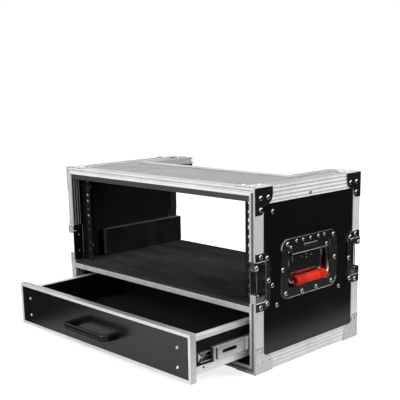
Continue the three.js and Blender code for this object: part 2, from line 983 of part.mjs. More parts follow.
// Rack rail: an angle with the standard hole pattern on its face
function rackRail() {
  const r = rail
  const face = front + r.fromFront
  const inside = Math.max(r.bendRadius - r.sheet, 0)
  const bendX = wallIn - r.bendRadius
  const bendY = face + r.bendRadius
  const section = [
    [railFace, face],
    ...arc(bendX, bendY, r.bendRadius, 3, 4, 3),
    [wallIn, face + r.deep],
    [wallIn - r.sheet, face + r.deep],
    ...arc(bendX, bendY, inside, 4, 3, 3),
    [railFace, face + r.sheet],
  ]
  const angleBar = raisedZ(outline(section), rackLow, rackHigh)
  const holes = []
  for (let unit = 0; unit < rackUnits; unit++) {
    for (let hole = 0; hole < 3; hole++) {
      const z = rackLow + unit * rackUnitHeight + rackHoleEdge + hole * rackHoleStep
      const drill = new THREE.CylinderGeometry(r.holeRadius, r.holeRadius, 2 * overrun, 12)
      holes.push(drill.translate(railFace + r.holeIn, face, z))
    }
  }
  for (const z of [rackLow + r.boltLow, rackHigh - r.boltHigh]) {
    const drill = new THREE.CylinderGeometry(r.boltRadius, r.boltRadius, 2 * overrun, 12)
    holes.push(drill.rotateZ(Math.PI / 2).translate(wallIn, face + r.boltIn, z))
  }
  return without(angleBar, ...holes)
}

addPair(roadCase, 'rack_rail', rackRail(), 'blackSteel')

// Board that closes the drawer bay at the back
const bayBackEnd = back - rim.innerFlange - gap
const bayBackLow = metalThick + boardThick
addPiece(
  roadCase,
  'bay_back',
  box(-wallIn, wallIn, bayBackEnd - bayBack.thick, bayBackEnd, bayBackLow, shelf.low + metalThick),
  'laminate',
)

// Slides. Sections have s running in from the side wall and t up from the slide's middle.
const fromWall = (s) => wallIn - s

function slideMember(section, start, length) {
  const shape = outline(section.map(([s, t]) => [fromWall(s), slide.centre + t]))
  return raisedY(shape, front + start, front + start + length)
}

// A channel with turned-in lips: web at one end, lips at the other, edges broken
function channel(webAt, lipAt, half, lip) {
  const t = slide.sheet
  const into = Math.sign(lipAt - webAt)
  const e = slide.edgeBreak
  const upper = [
    [webAt, half - e],
    [webAt + into * e, half],
    [lipAt - into * e, half],
    [lipAt, half - e],
    [lipAt, half - lip],
    [lipAt - into * t, half - lip],
    [lipAt - into * t, half - t],
    [webAt + into * t, half - t],
  ]
  return [...upper, ...upper.map(([s, h]) => [s, -h]).reverse()]
}

function slotsInWeb(start, webFrom, webTo) {
  const cuts = []
  for (let i = 0; i < slide.slots; i++) {
    const y0 = front + start + slide.slotFrom + i * slide.slotPitchShare * slideLength
    const half = slide.slotTall / 2
    const long = roundedRectangle(
      y0,
      y0 + slide.slotLong,
      slide.centre - half,
      slide.centre + half,
      half,
      3,
    )
    cuts.push(raisedX(outline(long), fromWall(webTo), fromWall(webFrom)))
  }
  return cuts
}

// A row of balls in their strip along one flange of the middle member
function ballRow(s, stripAt, ballAt, radius, start) {
  const strip = slide.ballStripWide / 2
  const y0 = front + start
  const low = slide.centre + Math.min(stripAt[0], stripAt[1])
  const high = slide.centre + Math.max(stripAt[0], stripAt[1])
  const pieces = [box(fromWall(s + strip), fromWall(s - strip), y0, y0 + ballCage, low, high)]
  for (let i = 0; i < slide.ballsPerRow; i++) {
    const ball = new THREE.SphereGeometry(radius, 8, 6)
    const y = y0 + (ballCage * (i + 1)) / (slide.ballsPerRow + 1)
    pieces.push(ball.translate(fromWall(s), y, slide.centre + ballAt))
  }
  return pieces
}

function slideOuter() {
  const member = slideMember(
    channel(0, slide.outerDeep, slide.outerHalf, slide.outerLip),
    slide.start,
    slideLength,
  )
  return without(member, ...slotsInWeb(slide.start, -overrun, slide.sheet + gap))
}

function slideMiddle() {
  const sl = slide
  const member = slideMember(
    channel(sl.middleFrom, sl.middleTo, sl.middleHalf, sl.middleLip),
    sl.start,
    slideLength,
  )
  const slotted = without(member, ...slotsInWeb(sl.start, 0, sl.middleFrom + sl.sheet + gap))
  const outerTrack = sl.outerHalf - sl.sheet
  const outerBall = (outerTrack - gap - sl.middleHalf) / 2
  const outerS = (sl.sheet + sl.outerDeep) / 2 + sl.edgeBreak
  const innerTrack = sl.middleHalf - sl.sheet
  const innerBall = (innerTrack - gap - sl.innerHalf) / 2
  const innerS = (sl.innerFrom + sl.middleTo - sl.sheet) / 2
  const rearStart = sl.start + slideLength - ballCage - sl.cageMargin
  const frontStart = sl.start + sl.cageMargin
  const rows = []
  for (const end of [-1, 1]) {
    const onFlange = [end * (sl.middleHalf - sl.sheet / 2), end * (sl.middleHalf + sl.ballStrip)]
    const underFlange = [end * (innerTrack + sl.sheet / 2), end * (innerTrack - sl.ballStrip)]
    rows.push(...ballRow(outerS, onFlange, end * (sl.middleHalf + outerBall), outerBall, rearStart))
    rows.push(...ballRow(innerS, underFlange, end * (innerTrack - innerBall), innerBall, frontStart))
  }
  const stop = box(
    fromWall(sl.middleFrom + sl.sheet),
    fromWall(sl.middleFrom - sl.stopProud),
    front + sl.start,
    front + sl.start + sl.stopLong,
    sl.centre - sl.middleHalf + sl.edgeBreak,
    sl.centre + sl.middleHalf - sl.edgeBreak,
  )
  return joined(slotted, stop, ...rows)
}

// Inner member on the drawer, with its release lever lying in the channel
function slideInner() {
  const sl = slide
  const t = sl.sheet
  const half = sl.innerHalf
  const section = [
    [sl.space, half - sl.edgeBreak],
    [sl.space - sl.edgeBreak, half],
    [sl.innerFrom, half],
    [sl.innerFrom, half - t],
    [sl.space - t, half - t],
    [sl.space - t, -half + t],
    [sl.innerFrom, -half + t],
    [sl.innerFrom, -half],
    [sl.space - sl.edgeBreak, -half],
    [sl.space, -half + sl.edgeBreak],
  ]
  const start = sl.start + sl.innerBack
  const member = slideMember(section, start, slideLength - sl.innerBack)
  const y0 = front + start + sl.leverFrom
  const tall = sl.leverTall
  const hook = sl.leverHook
  const lever = raisedX(
    outline([
      [y0, slide.centre - tall / 2],
      [y0 + sl.leverLong, slide.centre - tall / 4],
      [y0 + sl.leverLong, slide.centre + tall / 4],
      [y0 + hook, slide.centre + tall / 4],
      [y0 + hook, slide.centre + tall],
      [y0 + hook / 2, slide.centre + tall],
      [y0 + hook / 2, slide.centre + tall / 4],
      [y0, slide.centre],
    ]),
    fromWall(sl.space - t / 2),
    fromWall(sl.space - t - sl.leverThick),
  )
  return joined(member, lever)
}

addPair(roadCase, 'slide_outer', slideOuter(), 'zinc')

const middles = new THREE.Group()
middles.position.y = -middleOut
addPair(middles, 'slide_middle', slideMiddle(), 'zinc')
roadCase.add(middles)

const drawerGroup = new THREE.Group()
drawerGroup.position.y = -(middleOut + drawerOnMiddle)
addPair(drawerGroup, 'slide_inner', slideInner(), 'zinc')
roadCase.add(drawerGroup)

// Drawer front: a board held in a metal frame
const faceY = front + drawer.recess
const faceBack = faceY + drawer.thick

function frontTrim() {
  const half = drawerHalf
  const frame = box(-half, half, faceY, faceBack, drawerLow, drawerHigh)
  const window = box(
    -half + drawer.trimFace,
    half - drawer.trimFace,
    faceY - overrun,
    faceBack + overrun,
    drawerLow + drawer.trimFace,
    drawerHigh - drawer.trimFace,
  )
  return without(frame, window, frontBoard())
}

function frontBoard() {
  const half = drawerHalf - metalThick
  return box(
    -half,
    half,
    faceY + metalThick,
    faceBack - metalThick,
    drawerLow + metalThick,
    drawerHigh - metalThick,
  )
}

addPiece(drawerGroup, 'drawer_front_board', frontBoard(), 'laminate')
addPiece(drawerGroup, 'drawer_front_trim', frontTrim(), 'aluminium')

// Drawer box: two sides with metal along their edges, a back and a bottom
const boardBack = faceBack - metalThick
const sideFace = slideX
const sideInner = sideFace - drawer.sideThick
const boxBack = front + slide.start + slideLength - drawer.boxShort
const boardLow = boxLow + drawer.capSheet
const boardHigh = boxHigh - drawer.capSheet
const backInner = boxBack - drawer.sideThick

// Angle over the top edge of a side
function sideCap() {
  const sheet = drawer.capSheet
  const skirt = boxHigh - drawer.capSkirt
  return raisedY(
    outline([
      [sideInner, boardHigh],
      [sideFace, boardHigh],
      [sideFace, skirt],
      [sideFace + sheet, skirt],
      [sideFace + sheet, boxHigh],
      [sideInner, boxHigh],
    ]),
    boardBack,
    boxBack,
  )
}

// Angle under the bottom edge of a side
function sideFoot() {
  const sheet = drawer.capSheet
  return raisedY(
    outline([
      [sideInner, boxLow],
      [sideFace + sheet, boxLow],
      [sideFace + sheet, boxLow + drawer.footSkirt],
      [sideFace, boxLow + drawer.footSkirt],
      [sideFace, boardLow],
      [sideInner, boardLow],
    ]),
    boardBack,
    boxBack,
  )
}

const sideBoard = box(sideInner, sideFace, boardBack, boxBack, boardLow, boardHigh)
addPair(drawerGroup, 'drawer_side', sideBoard, 'laminate')
addPair(drawerGroup, 'drawer_side_cap', sideCap(), 'aluminium')
addPair(drawerGroup, 'drawer_side_foot', sideFoot(), 'aluminium')
addPiece(
  drawerGroup,
  'drawer_back',
  box(-sideInner, sideInner, backInner, boxBack, boardLow, boardHigh),
  'laminate',
)
addPiece(
  drawerGroup,
  'drawer_bottom',
  box(-sideInner, sideInner, boardBack, backInner, boardLow, boardLow + drawer.bottomThick),
  'laminate',
)

// Pull: a D of flat bar with softened edges, feet on the drawer's face
function drawerPull() {
  const p = pull
  const seat = faceY + metalThick
  const out = seat - p.reach
  const r = p.outerRound
  const half = p.halfLength
  const inHalf = half - p.arm
  const inOut = out + p.bar
  const shape = outline([
    [half, seat],
    ...arc(inHalf - p.innerRound, inOut + p.innerRound, p.innerRound, 4, 4, 1).slice(2),
    [inHalf, seat],
    ...arc(inHalf - p.innerRound, inOut + p.innerRound, p.innerRound, 4, 3, 4),
    ...arc(-inHalf + p.innerRound, inOut + p.innerRound, p.innerRound, 3, 2, 4),
    [-inHalf, seat],
    [-half, seat],
    ...arc(-half + r, out + r, r, 2, 3, 5),
    ...arc(half - r, out + r, r, 3, 4, 5),
  ])
  const bar = new THREE.ExtrudeGeometry(shape, {
    depth: p.tall - 2 * p.edge,
    bevelEnabled: true,
    bevelThickness: p.edge,
    bevelSize: p.edge,
    bevelOffset: -p.edge,
    bevelSegments: 2,
  })
  const low = (drawerLow + drawerHigh) / 2 - p.drop - p.tall / 2 + p.edge
  return placed(bar, [0, 0, low], [1, 0, 0], [0, 1, 0], [0, 0, 1])
}

addPiece(drawerGroup, 'drawer_pull', asGeometry(asSolid(drawerPull())), 'blackPlastic')

export default roadCase
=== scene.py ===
"""Looks of the road case: finishes, fasteners, foam, handles and a pale studio."""

import json
import math

import bmesh
import bpy
from mathutils import Matrix, Vector, noise

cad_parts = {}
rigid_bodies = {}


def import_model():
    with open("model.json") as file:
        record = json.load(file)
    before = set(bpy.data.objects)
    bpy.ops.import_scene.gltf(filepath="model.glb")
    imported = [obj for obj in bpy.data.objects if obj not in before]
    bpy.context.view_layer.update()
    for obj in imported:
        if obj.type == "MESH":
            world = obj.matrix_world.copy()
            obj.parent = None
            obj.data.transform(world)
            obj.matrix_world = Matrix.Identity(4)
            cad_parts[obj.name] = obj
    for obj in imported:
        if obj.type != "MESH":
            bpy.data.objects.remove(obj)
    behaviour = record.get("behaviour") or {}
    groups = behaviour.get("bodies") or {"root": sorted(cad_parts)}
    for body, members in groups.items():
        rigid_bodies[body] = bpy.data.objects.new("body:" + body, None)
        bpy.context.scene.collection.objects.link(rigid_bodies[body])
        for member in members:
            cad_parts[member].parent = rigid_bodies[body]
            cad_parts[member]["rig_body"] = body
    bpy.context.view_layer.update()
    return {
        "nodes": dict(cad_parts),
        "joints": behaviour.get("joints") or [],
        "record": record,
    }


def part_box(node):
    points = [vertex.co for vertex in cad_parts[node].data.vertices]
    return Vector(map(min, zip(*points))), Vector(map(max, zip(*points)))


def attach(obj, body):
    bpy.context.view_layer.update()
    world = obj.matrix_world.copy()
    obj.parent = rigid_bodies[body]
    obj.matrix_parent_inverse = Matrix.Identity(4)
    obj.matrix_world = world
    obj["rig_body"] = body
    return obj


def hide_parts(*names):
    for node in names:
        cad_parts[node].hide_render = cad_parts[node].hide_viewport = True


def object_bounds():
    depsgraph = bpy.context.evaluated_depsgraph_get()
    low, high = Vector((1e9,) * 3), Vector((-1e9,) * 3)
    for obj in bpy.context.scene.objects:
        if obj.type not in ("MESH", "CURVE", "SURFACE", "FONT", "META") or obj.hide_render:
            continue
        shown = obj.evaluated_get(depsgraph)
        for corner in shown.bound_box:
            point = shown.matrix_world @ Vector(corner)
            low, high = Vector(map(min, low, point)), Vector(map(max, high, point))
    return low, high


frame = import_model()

X, Y, Z = Vector((1, 0, 0)), Vector((0, 1, 0)), Vector((0, 0, 1))
QUARTER = math.pi / 2
SIDES = {"right": 1, "left": -1}

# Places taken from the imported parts, in metres
SHEET = 0.0012
rim_low, rim_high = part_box("front_rim_right")
SIDE = rim_high.x
FRONT = rim_low.y
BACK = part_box("rear_rim_right")[1].y
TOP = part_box("top_edging_right")[1].z
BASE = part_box("bottom_edging_right")[0].z
WALL_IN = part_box("side_panel_right")[0].x
PANEL_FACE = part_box("side_panel_right")[1].x
PLATE_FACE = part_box("corner_front_top_right")[1].x
BRACKET_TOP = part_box("corner_front_top_right")[1].z
DISH_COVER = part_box("handle_dish_right")[1].x
DISH_FACE = PANEL_FACE + SHEET
COVER_FACE = DISH_FACE + SHEET
DISH_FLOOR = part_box("handle_dish_right")[0].x + SHEET
LATCH_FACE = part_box("latch_plate_front_right")[1].x
LATCH_MIDDLE = sum(corner.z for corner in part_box("latch_plate_front_right")) / 2

# Shapes

VERT, EDGE = bmesh.types.BMVert, bmesh.types.BMEdge
# Angles between faces above which an edge is a corner of the body, or a sharp one
CORNER, SHARP = math.radians(30), 1.0


def spun(profile, steps):
    """A round solid: a profile of (radius, height) points turned round the Z axis."""
    bm = bmesh.new()
    points = [bm.verts.new((radius, 0, height)) for radius, height in profile]
    edges = [bm.edges.new(pair) for pair in zip(points, points[1:])]
    bmesh.ops.spin(
        bm, geom=points + edges, cent=(0, 0, 0), axis=Z, dvec=(0, 0, 0),
        angle=math.tau, steps=steps, use_merge=True, use_duplicate=False,
    )
    bmesh.ops.remove_doubles(bm, verts=bm.verts, dist=1e-6)
    bmesh.ops.recalc_face_normals(bm, faces=bm.faces)
    return bm


def as_mesh(bm, name):
    mesh = bpy.data.meshes.new(name)
    bm.to_mesh(mesh)
    bm.free()
    return mesh


def stamp(bm, template, centre, facing, turn):
    """Adds a copy of the template at a place, its own Z along the given direction."""
    first = len(bm.verts)
    bm.from_mesh(template)
    bm.verts.ensure_lookup_table()
    matrix = (
        Matrix.Translation(centre)
        @ facing.to_track_quat("Z", "Y").to_matrix().to_4x4()
        @ Matrix.Rotation(turn, 4, "Z")
    )
    bmesh.ops.transform(bm, matrix=matrix, verts=bm.verts[first:])


def linked(name, data):
    """A new object in the scene."""
    made = bpy.data.objects.new(name, data)
    bpy.context.scene.collection.objects.link(made)
    return made


def finished(name, bm, body, slot, finish, sharp=35.0):
    """Makes the bmesh a piece of the object, smooth but for its sharp edges."""
    bmesh.ops.recalc_face_normals(bm, faces=bm.faces)
    mesh = as_mesh(bm, name)
    mesh.materials.append(finish)
    mesh.shade_smooth()
    mesh.set_sharp_from_angle(angle=math.radians(sharp))
    piece = linked(name, mesh)
    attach(piece, body)
    return piece


def only(kind, geom):
    """The verts or the edges among what an operator made."""
    return [item for item in geom if isinstance(item, kind)]


def whole(bm):
    return bm.verts[:] + bm.edges[:] + bm.faces[:]


def divided(bm, normal, places, near=1e-7):
    """Cuts faces, not the body, along planes at the given distances."""
    for place in places:
        bmesh.ops.bisect_plane(
            bm, geom=whole(bm), plane_co=normal * place, plane_no=normal, dist=near
        )


def rounded(bm, edges, reach, segments):
    """Rounds the edges over the given reach."""
    bmesh.ops.bevel(
        bm, geom=edges, offset=reach, offset_type="OFFSET", affect="EDGES",
        segments=segments, profile=0.5, material=-1, clamp_overlap=True,
    )


def plain_solid(node):
    """The CAD node's mesh without the edges that lie within a flat face."""
    bm = bmesh.new()
    bm.from_mesh(frame["nodes"][node].data)
    bmesh.ops.remove_doubles(bm, verts=bm.verts, dist=2e-6)
    bmesh.ops.dissolve_limit(
        bm, angle_limit=math.radians(1), verts=bm.verts, edges=bm.edges
    )
    return bm


def corners(bm, angle, chosen):
    """The chosen ones among the edges whose two faces meet at more than an angle."""
    return [
        edge for edge in bm.edges
        if len(edge.link_faces) == 2
        and edge.calc_face_angle(0) > angle and chosen(edge)
    ]


def stand_in(node, name, bm, finish, sharp):
    """Makes the bmesh the mesh that is shown in place of a CAD node."""
    body = frame["nodes"][node]["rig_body"]
    piece = finished(name, bm, body, SLOT[node], finish, sharp)
    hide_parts(node)
    return piece


def dressed(piece, others):
    """Gives the faces that one of the others chooses that one's finish."""
    for index, (other, chosen) in enumerate(others, 1):
        piece.data.materials.append(other)
        for face in piece.data.polygons:
            if chosen(face):
                face.material_index = index


def softened(node, width, crease=35.0, wide=None, seams=(), others=()):
    """Shows a CAD node with the same shape, softly broken edges and other finishes."""
    bm = plain_solid(node)
    if wide:
        reach, chosen = wide
        rounded(bm, corners(bm, CORNER, chosen), reach, 3)
    if width:
        rounded(bm, corners(bm, CORNER, lambda edge: True), width, 2)
    for normal, places in seams:
        divided(bm, normal, places)
    piece = stand_in(node, f"{node}_dressed", bm, finish_for(node), crease)
    dressed(piece, others)
    normals = piece.modifiers.new("weighted_normals", "WEIGHTED_NORMAL")
    normals.keep_sharp = True


# Finishes


class Graph:
    """A node tree, whose nodes take values or other nodes' outputs."""

    def __init__(self, tree):
        self.nodes, self.links = tree.nodes, tree.links

    def fill(self, node, inputs):
        for socket, value in inputs.items():
            if isinstance(value, bpy.types.NodeSocket):
                self.links.new(value, node.inputs[socket])
            else:
                node.inputs[socket].default_value = value

    def add(self, kind, inputs, output=0, operation=None):
        """Adds a node and gives one of its outputs."""
        node = self.nodes.new(f"ShaderNode{kind}")
        if operation:
            node.operation = operation
        self.fill(node, inputs)
        return node.outputs[output]

    def math(self, operation, first, second):
        return self.add("Math", {0: first, 1: second}, operation=operation)

    def between(self, source, low, high, at_low, at_high):
        """Remaps a value from one range to another."""
        span = {"From Min": low, "From Max": high, "To Min": at_low, "To Max": at_high}
        return self.add("MapRange", {"Value": source, **span}, "Result")

    def show(self, surface):
        """Makes a shader the surface in place of the first one."""
        self.nodes.remove(self.nodes["Principled BSDF"])
        self.fill(self.nodes["Material Output"], {"Surface": surface})


class Finish(Graph):
    """A procedural material on Object coordinates, built up from one shader."""

    def __init__(
        self, name, color=(1, 1, 1), roughness=0.5, metallic=0.0, shine=0.5, **sockets
    ):
        self.material = bpy.data.materials.new(name)
        self.material.use_nodes = True
        super().__init__(self.material.node_tree)
        self.shader = self.nodes["Principled BSDF"]
        self.place = self.add("TexCoord", {}, "Object")
        self.relief = None
        self.shade(Base_Color=(*color, 1), Roughness=roughness, Metallic=metallic)
        self.shade(Specular_IOR_Level=shine, **sockets)

    def shade(self, **sockets):
        named = {name.replace("_", " "): value for name, value in sockets.items()}
        self.fill(self.shader, named)

    def grain(self, scale, stretch=(1, 1, 1), detail=4.0, roughness=0.55):
        """Noise of a given fineness per metre, stretched along an axis where asked."""
        place = self.add("Mapping", {"Vector": self.place, "Scale": stretch}, "Vector")
        look = {"Scale": scale, "Detail": detail, "Roughness": roughness}
        return self.add("TexNoise", {"Vector": place, **look}, "Fac")

    def cells(self, scale):
        """Rounded cells, as in foam or a stippled skin."""
        look = {"Vector": self.place, "Scale": scale}
        return self.add("TexVoronoi", look, "Distance")

    def colors(self, source, *stops):
        """Colours the surface along a ramp of (position, colour) stops."""
        ramp = self.nodes.new("ShaderNodeValToRGB")
        while len(ramp.color_ramp.elements) < len(stops):
            ramp.color_ramp.elements.new(0.5)
        for element, (position, color) in zip(ramp.color_ramp.elements, stops):
            element.position = position
            element.color = (*color, 1)
        self.fill(ramp, {"Fac": source})
        self.shade(Base_Color=ramp.outputs["Color"])

    def bump(self, source, distance, strength):
        """Adds one layer of relief, its depth in metres."""
        layer = {"Height": source, "Distance": distance, "Strength": strength}
        if self.relief is not None:
            layer["Normal"] = self.relief
        self.relief = self.add("Bump", layer, "Normal")
        self.shade(Normal=self.relief)


def times(color, share):
    return tuple(min(channel * share, 1) for channel in color)


def laminate(name, color, roughness, **sockets):
    """Black laminated board: a faint orange-peel skin, smudges and a little dust."""
    finish = Finish(name, color, roughness, **sockets)
    smudge = finish.grain(9, detail=5)
    worn = finish.between(smudge, 0.35, 0.7, roughness, roughness + 0.1)
    finish.shade(Roughness=worn)
    lighter = tuple(channel * 1.5 + 0.004 for channel in color)
    speck = finish.grain(2600, detail=1)
    finish.colors(speck, (0.0, color), (0.66, color), (0.74, lighter))
    finish.bump(finish.grain(900, detail=2), 0.00003, 0.5)
    finish.bump(finish.cells(650), 0.00004, 0.25)
    return finish.material


def brushed(name, along, color=(0.88, 0.88, 0.875), roughness=0.36, metallic=0.5):
    """Drawn metal whose fine lines run along one axis of the case."""
    finish = Finish(name, color, roughness, metallic)
    stretch = [1.0, 1.0, 1.0]
    stretch["xyz".index(along)] = 0.012
    lines = finish.grain(1500, stretch, detail=3)
    stain = finish.grain(26, detail=6, roughness=0.65)
    darker, lighter = times(color, 0.86), times(color, 1.06)
    finish.colors(stain, (0.3, darker), (0.5, color), (0.72, lighter))
    worn = finish.between(lines, 0.3, 0.7, roughness - 0.07, roughness + 0.1)
    finish.shade(Roughness=worn)
    finish.bump(lines, 0.00003, 0.4)
    return finish.material


def drawn(name, axes, *look):
    """The same drawn metal along each of the axes."""
    return {along: brushed(f"{name}_{along}", along, *look) for along in axes}


def plated(name, color, roughness):
    """Bright plating on pressed sheet: slightly uneven, with faint wipe marks."""
    finish = Finish(name, color, roughness, 1.0)
    smear = finish.grain(60, (1, 0.35, 1), detail=5, roughness=0.6)
    worn = finish.between(smear, 0.4, 0.75, roughness, roughness + 0.12)
    finish.shade(Roughness=worn)
    finish.bump(finish.grain(75, detail=2), 0.00012, 0.35)
    finish.bump(finish.grain(1400, detail=1), 0.00001, 0.3)
    return finish.material


def coated(name, color, roughness, scale=1300, **sockets):
    """Powder coat or moulded plastic: fine even grain."""
    finish = Finish(name, color, roughness, **sockets)
    patch = finish.grain(35, detail=4)
    worn = finish.between(patch, 0.3, 0.7, roughness - 0.05, roughness + 0.08)
    finish.shade(Roughness=worn)
    finish.colors(patch, (0.35, times(color, 0.82)), (0.65, color))
    finish.bump(finish.grain(scale, detail=2), 0.00005, 0.6)
    return finish.material


def foam_skin(name, color):
    """Closed-cell foam with a brushed nap that lies along the case."""
    finish = Finish(name, color, 0.92, shine=0.0)
    nap = finish.grain(420, (0.25, 1, 1), detail=5, roughness=0.7)
    patch = finish.grain(26, (0.35, 1, 1), detail=6, roughness=0.7)
    halves = [finish.between(each, 0.3, 0.7, 0.0, 0.5) for each in (nap, patch)]
    darker, lighter = times(color, 0.5), times(color, 1.7)
    mixed = finish.math("ADD", *halves)
    finish.colors(mixed, (0.15, darker), (0.5, color), (0.85, lighter))
    finish.bump(finish.cells(1100), 0.0002, 0.5)
    finish.bump(nap, 0.0003, 0.45)
    return finish.material


BLACK = (0.004, 0.004, 0.0045)
BLACK_BOARD = laminate("black_laminate", BLACK, 0.12, IOR=1.55)
TOP_BOARD = laminate("top_laminate", BLACK, 0.12, IOR=1.36)
FRONT_BOARD = laminate("drawer_front_laminate", (0.005, 0.005, 0.0055), 0.17, IOR=1.85)
DRAWER_FLOOR = laminate("drawer_floor", (0.013, 0.013, 0.0135), 0.4)
INNER_BOARD = laminate("inner_board", (0.006, 0.006, 0.0065), 0.42, shine=0.12)
LINER_BOARD = coated("liner_board", (0.045, 0.045, 0.046), 0.62)
DRAWN = drawn("drawn_aluminium", "xyz")
# Painted light and shade on drawn aluminium: darker rib slopes and upper faces and a
# lighter top edging, as light falls unevenly on the edging and rims
RIB_LINE = brushed("rib_line_painted_shade", "y", (0.66, 0.66, 0.66), 0.38, 0.5)
UPPER_SIDE = brushed("upper_side_painted_light", "y", (0.95, 0.95, 0.945), 0.36, 0.3)
UPPER_FACE = brushed("upper_face_painted_shade", "y", (0.56, 0.56, 0.555), 0.38, 0.5)
UPPER_RIB = brushed("upper_rib_painted_shade", "y", (0.34, 0.34, 0.34), 0.4, 0.5)
NOTCH_STRIP = brushed("notch_strip_painted_shade", "x", (0.74, 0.74, 0.735), 0.38, 0.5)
TOP_RIM_ABOVE = brushed("top_rim_above", "x", (0.66, 0.66, 0.655), 0.42, 0.25)
# Painted shade: darker plating on the brackets' upward faces, for the dark room they would
# mirror
UPPER_BRACKET_SHADE = plated("bracket_top_painted_shade", (0.6, 0.605, 0.61), 0.2)
# Painted highlight: near-white, mostly matte steel that makes the studs and the wall screw
# show as glints
GLINT_STEEL = brushed("stud_steel_painted_glint", "z", (0.97, 0.97, 0.965), 0.3, 0.2)
# Painted shade: darker copies of the drawn aluminium in the rims' grooves and on their
# inner flanges
GROOVE = drawn("groove_painted_shade", "xz", (0.5, 0.5, 0.5), 0.4, 0.6)
INNER_FLANGE = {
    "x": brushed("inner_flange_painted_shade_x", "x", (0.6, 0.6, 0.6), 0.34, 0.85),
    "z": brushed("inner_flange_painted_shade_z", "z", (0.85, 0.85, 0.85), 0.36, 0.5),
}
RIB_SHADE = coated("rib_in_shade", (0.03, 0.03, 0.031), 0.45)
TRIM = brushed("drawer_trim", "x", (0.93, 0.93, 0.925), 0.4, 0.3)
# Painted shade: darker copies of the trim for its top and its ends
TRIM_TOP = brushed("drawer_trim_top_painted_shade", "x", (0.5, 0.5, 0.5), 0.36, 0.5)
TRIM_END = brushed("drawer_trim_end_painted_shade", "z", (0.74, 0.74, 0.735), 0.36, 0.6)
# Painted light: a brighter, less metallic copy of the drawn aluminium for the top front
# rim
TOP_RIM = brushed("top_rim", "x", (0.99, 0.99, 0.985), 0.42, 0.1)
# Painted light: a lighter groove finish for the top and left front rims
LIT_GROOVE = drawn("groove_painted_light", "xz", (0.92, 0.92, 0.92), 0.4, 0.3)
REAR_FLANGE = coated("rear_flange_in_shade", (0.012, 0.012, 0.0125), 0.5, shine=0.1)
CHROME = plated("bright_plating", (0.78, 0.79, 0.8), 0.07)
# Painted shade: darker plating in the latch pockets, on the latch plates' rim faces and on
# the handle dishes' floors
POCKET_SHADE = plated("pocket_painted_shade", (0.42, 0.425, 0.43), 0.12)
POCKET_FLOOR_SHADE = plated("pocket_floor_painted_shade", (0.52, 0.525, 0.53), 0.09)
LEVER_BRIGHT = plated("lever_plating", (0.95, 0.95, 0.95), 0.35)
# Painted shade: dark plating on the handle pockets' walls
POCKET_WALL_SHADE = plated("pocket_wall_painted_shade", (0.22, 0.22, 0.225), 0.2)
RIVET = plated("rivet_nickel", (0.9, 0.9, 0.9), 0.12)
SCREW_STEEL = plated("blued_screw_steel", (0.5, 0.5, 0.51), 0.25)
ZINC = brushed("zinc_plating", "y", (0.78, 0.79, 0.8), 0.24, 0.9)
SHADED_ZINC = brushed("shaded_zinc", "y", (0.36, 0.37, 0.38), 0.34, 0.7)
# Painted light: a light, half-matte plating on the latch plates' lower tabs and the left
# plates' eyes
TAB_LIGHT = brushed("tab_painted_light", "y", (0.66, 0.66, 0.66), 0.4, 0.4)
RAIL_COAT = coated("black_powder_coat", (0.006, 0.006, 0.0065), 0.42, shine=0.3)
BACKING_BLACK = coated("backing_black", BLACK, 0.22)
# Painted shade: near-black coat on the rail's leg beside the wall
RAIL_SHADE = coated("rail_leg_painted_shade", (0.002, 0.002, 0.0022), 0.5, shine=0.1)
FOAM = foam_skin("charcoal_foam", (0.034, 0.034, 0.035))
BLOCK_FOAM = foam_skin("dark_foam", (0.008, 0.008, 0.0085))
# Painted light: lighter foam on the rest block's top and on a band of its front end
BLOCK_TOP_LIGHT = coated("block_cut_edge", (0.075, 0.075, 0.075), 0.7)
BLOCK_END_LIGHT = coated("block_end_painted_light", (0.25, 0.25, 0.25), 0.7)
GRIP_RED = coated(
    "red_sleeve", (0.64, 0.02, 0.008), 0.45, scale=500, shine=0.2,
    Subsurface_Weight=0.1, Subsurface_Scale=0.003,
)
PULL_BLACK = coated("pull_plastic", (0.003, 0.003, 0.0033), 0.2, shine=0.36)
LEVER_BLACK = coated("lever_plastic", (0.013, 0.013, 0.014), 0.3)

NODE_FINISH = {
    name: finish
    for finish, names in (
        (BLACK_BOARD, "side_panel bottom_panel"),
        (TOP_BOARD, "top_panel"),
        # Painted light: the top edging and the top front rim take lighter copies of the
        # drawn aluminium
        (UPPER_SIDE, "top_edging"),
        (TOP_RIM, "front_rim_top"),
        (DRAWN["x"], "front_rim_bottom rear_rim_top rear_rim_bottom shelf_strip"),
        (DRAWN["y"], "bottom_edging drawer_side_cap drawer_side_foot"),
        (DRAWN["z"], "front_rim rear_rim"),
        (INNER_BOARD, "shelf_board bay_back drawer_side drawer_back"),
        (LINER_BOARD, "top_board"),
        (FOAM, "shelf_lining"),
        (BLOCK_FOAM, "rest_block"),
        (RAIL_COAT, "rack_rail"),
        (CHROME, "corner latch_plate handle_dish handle_bail"),
        (GRIP_RED, "handle_grip"),
        (ZINC, "slide"),
        (FRONT_BOARD, "drawer_front_board"),
        (TRIM, "drawer_front_trim"),
        (DRAWER_FLOOR, "drawer_bottom"),
        (PULL_BLACK, "drawer_pull"),
    )
    for name in names.split()
}


def finish_for(node):
    """The finish of the longest name that the node's name starts with."""
    return NODE_FINISH[max((n for n in NODE_FINISH if node.startswith(n)), key=len)]


for node, part in frame["nodes"].items():
    part.data.materials.clear()
    part.data.materials.append(finish_for(node))

SLOT = {row["node"]: row["material_slot"] for row in frame["record"]["subparts"]}

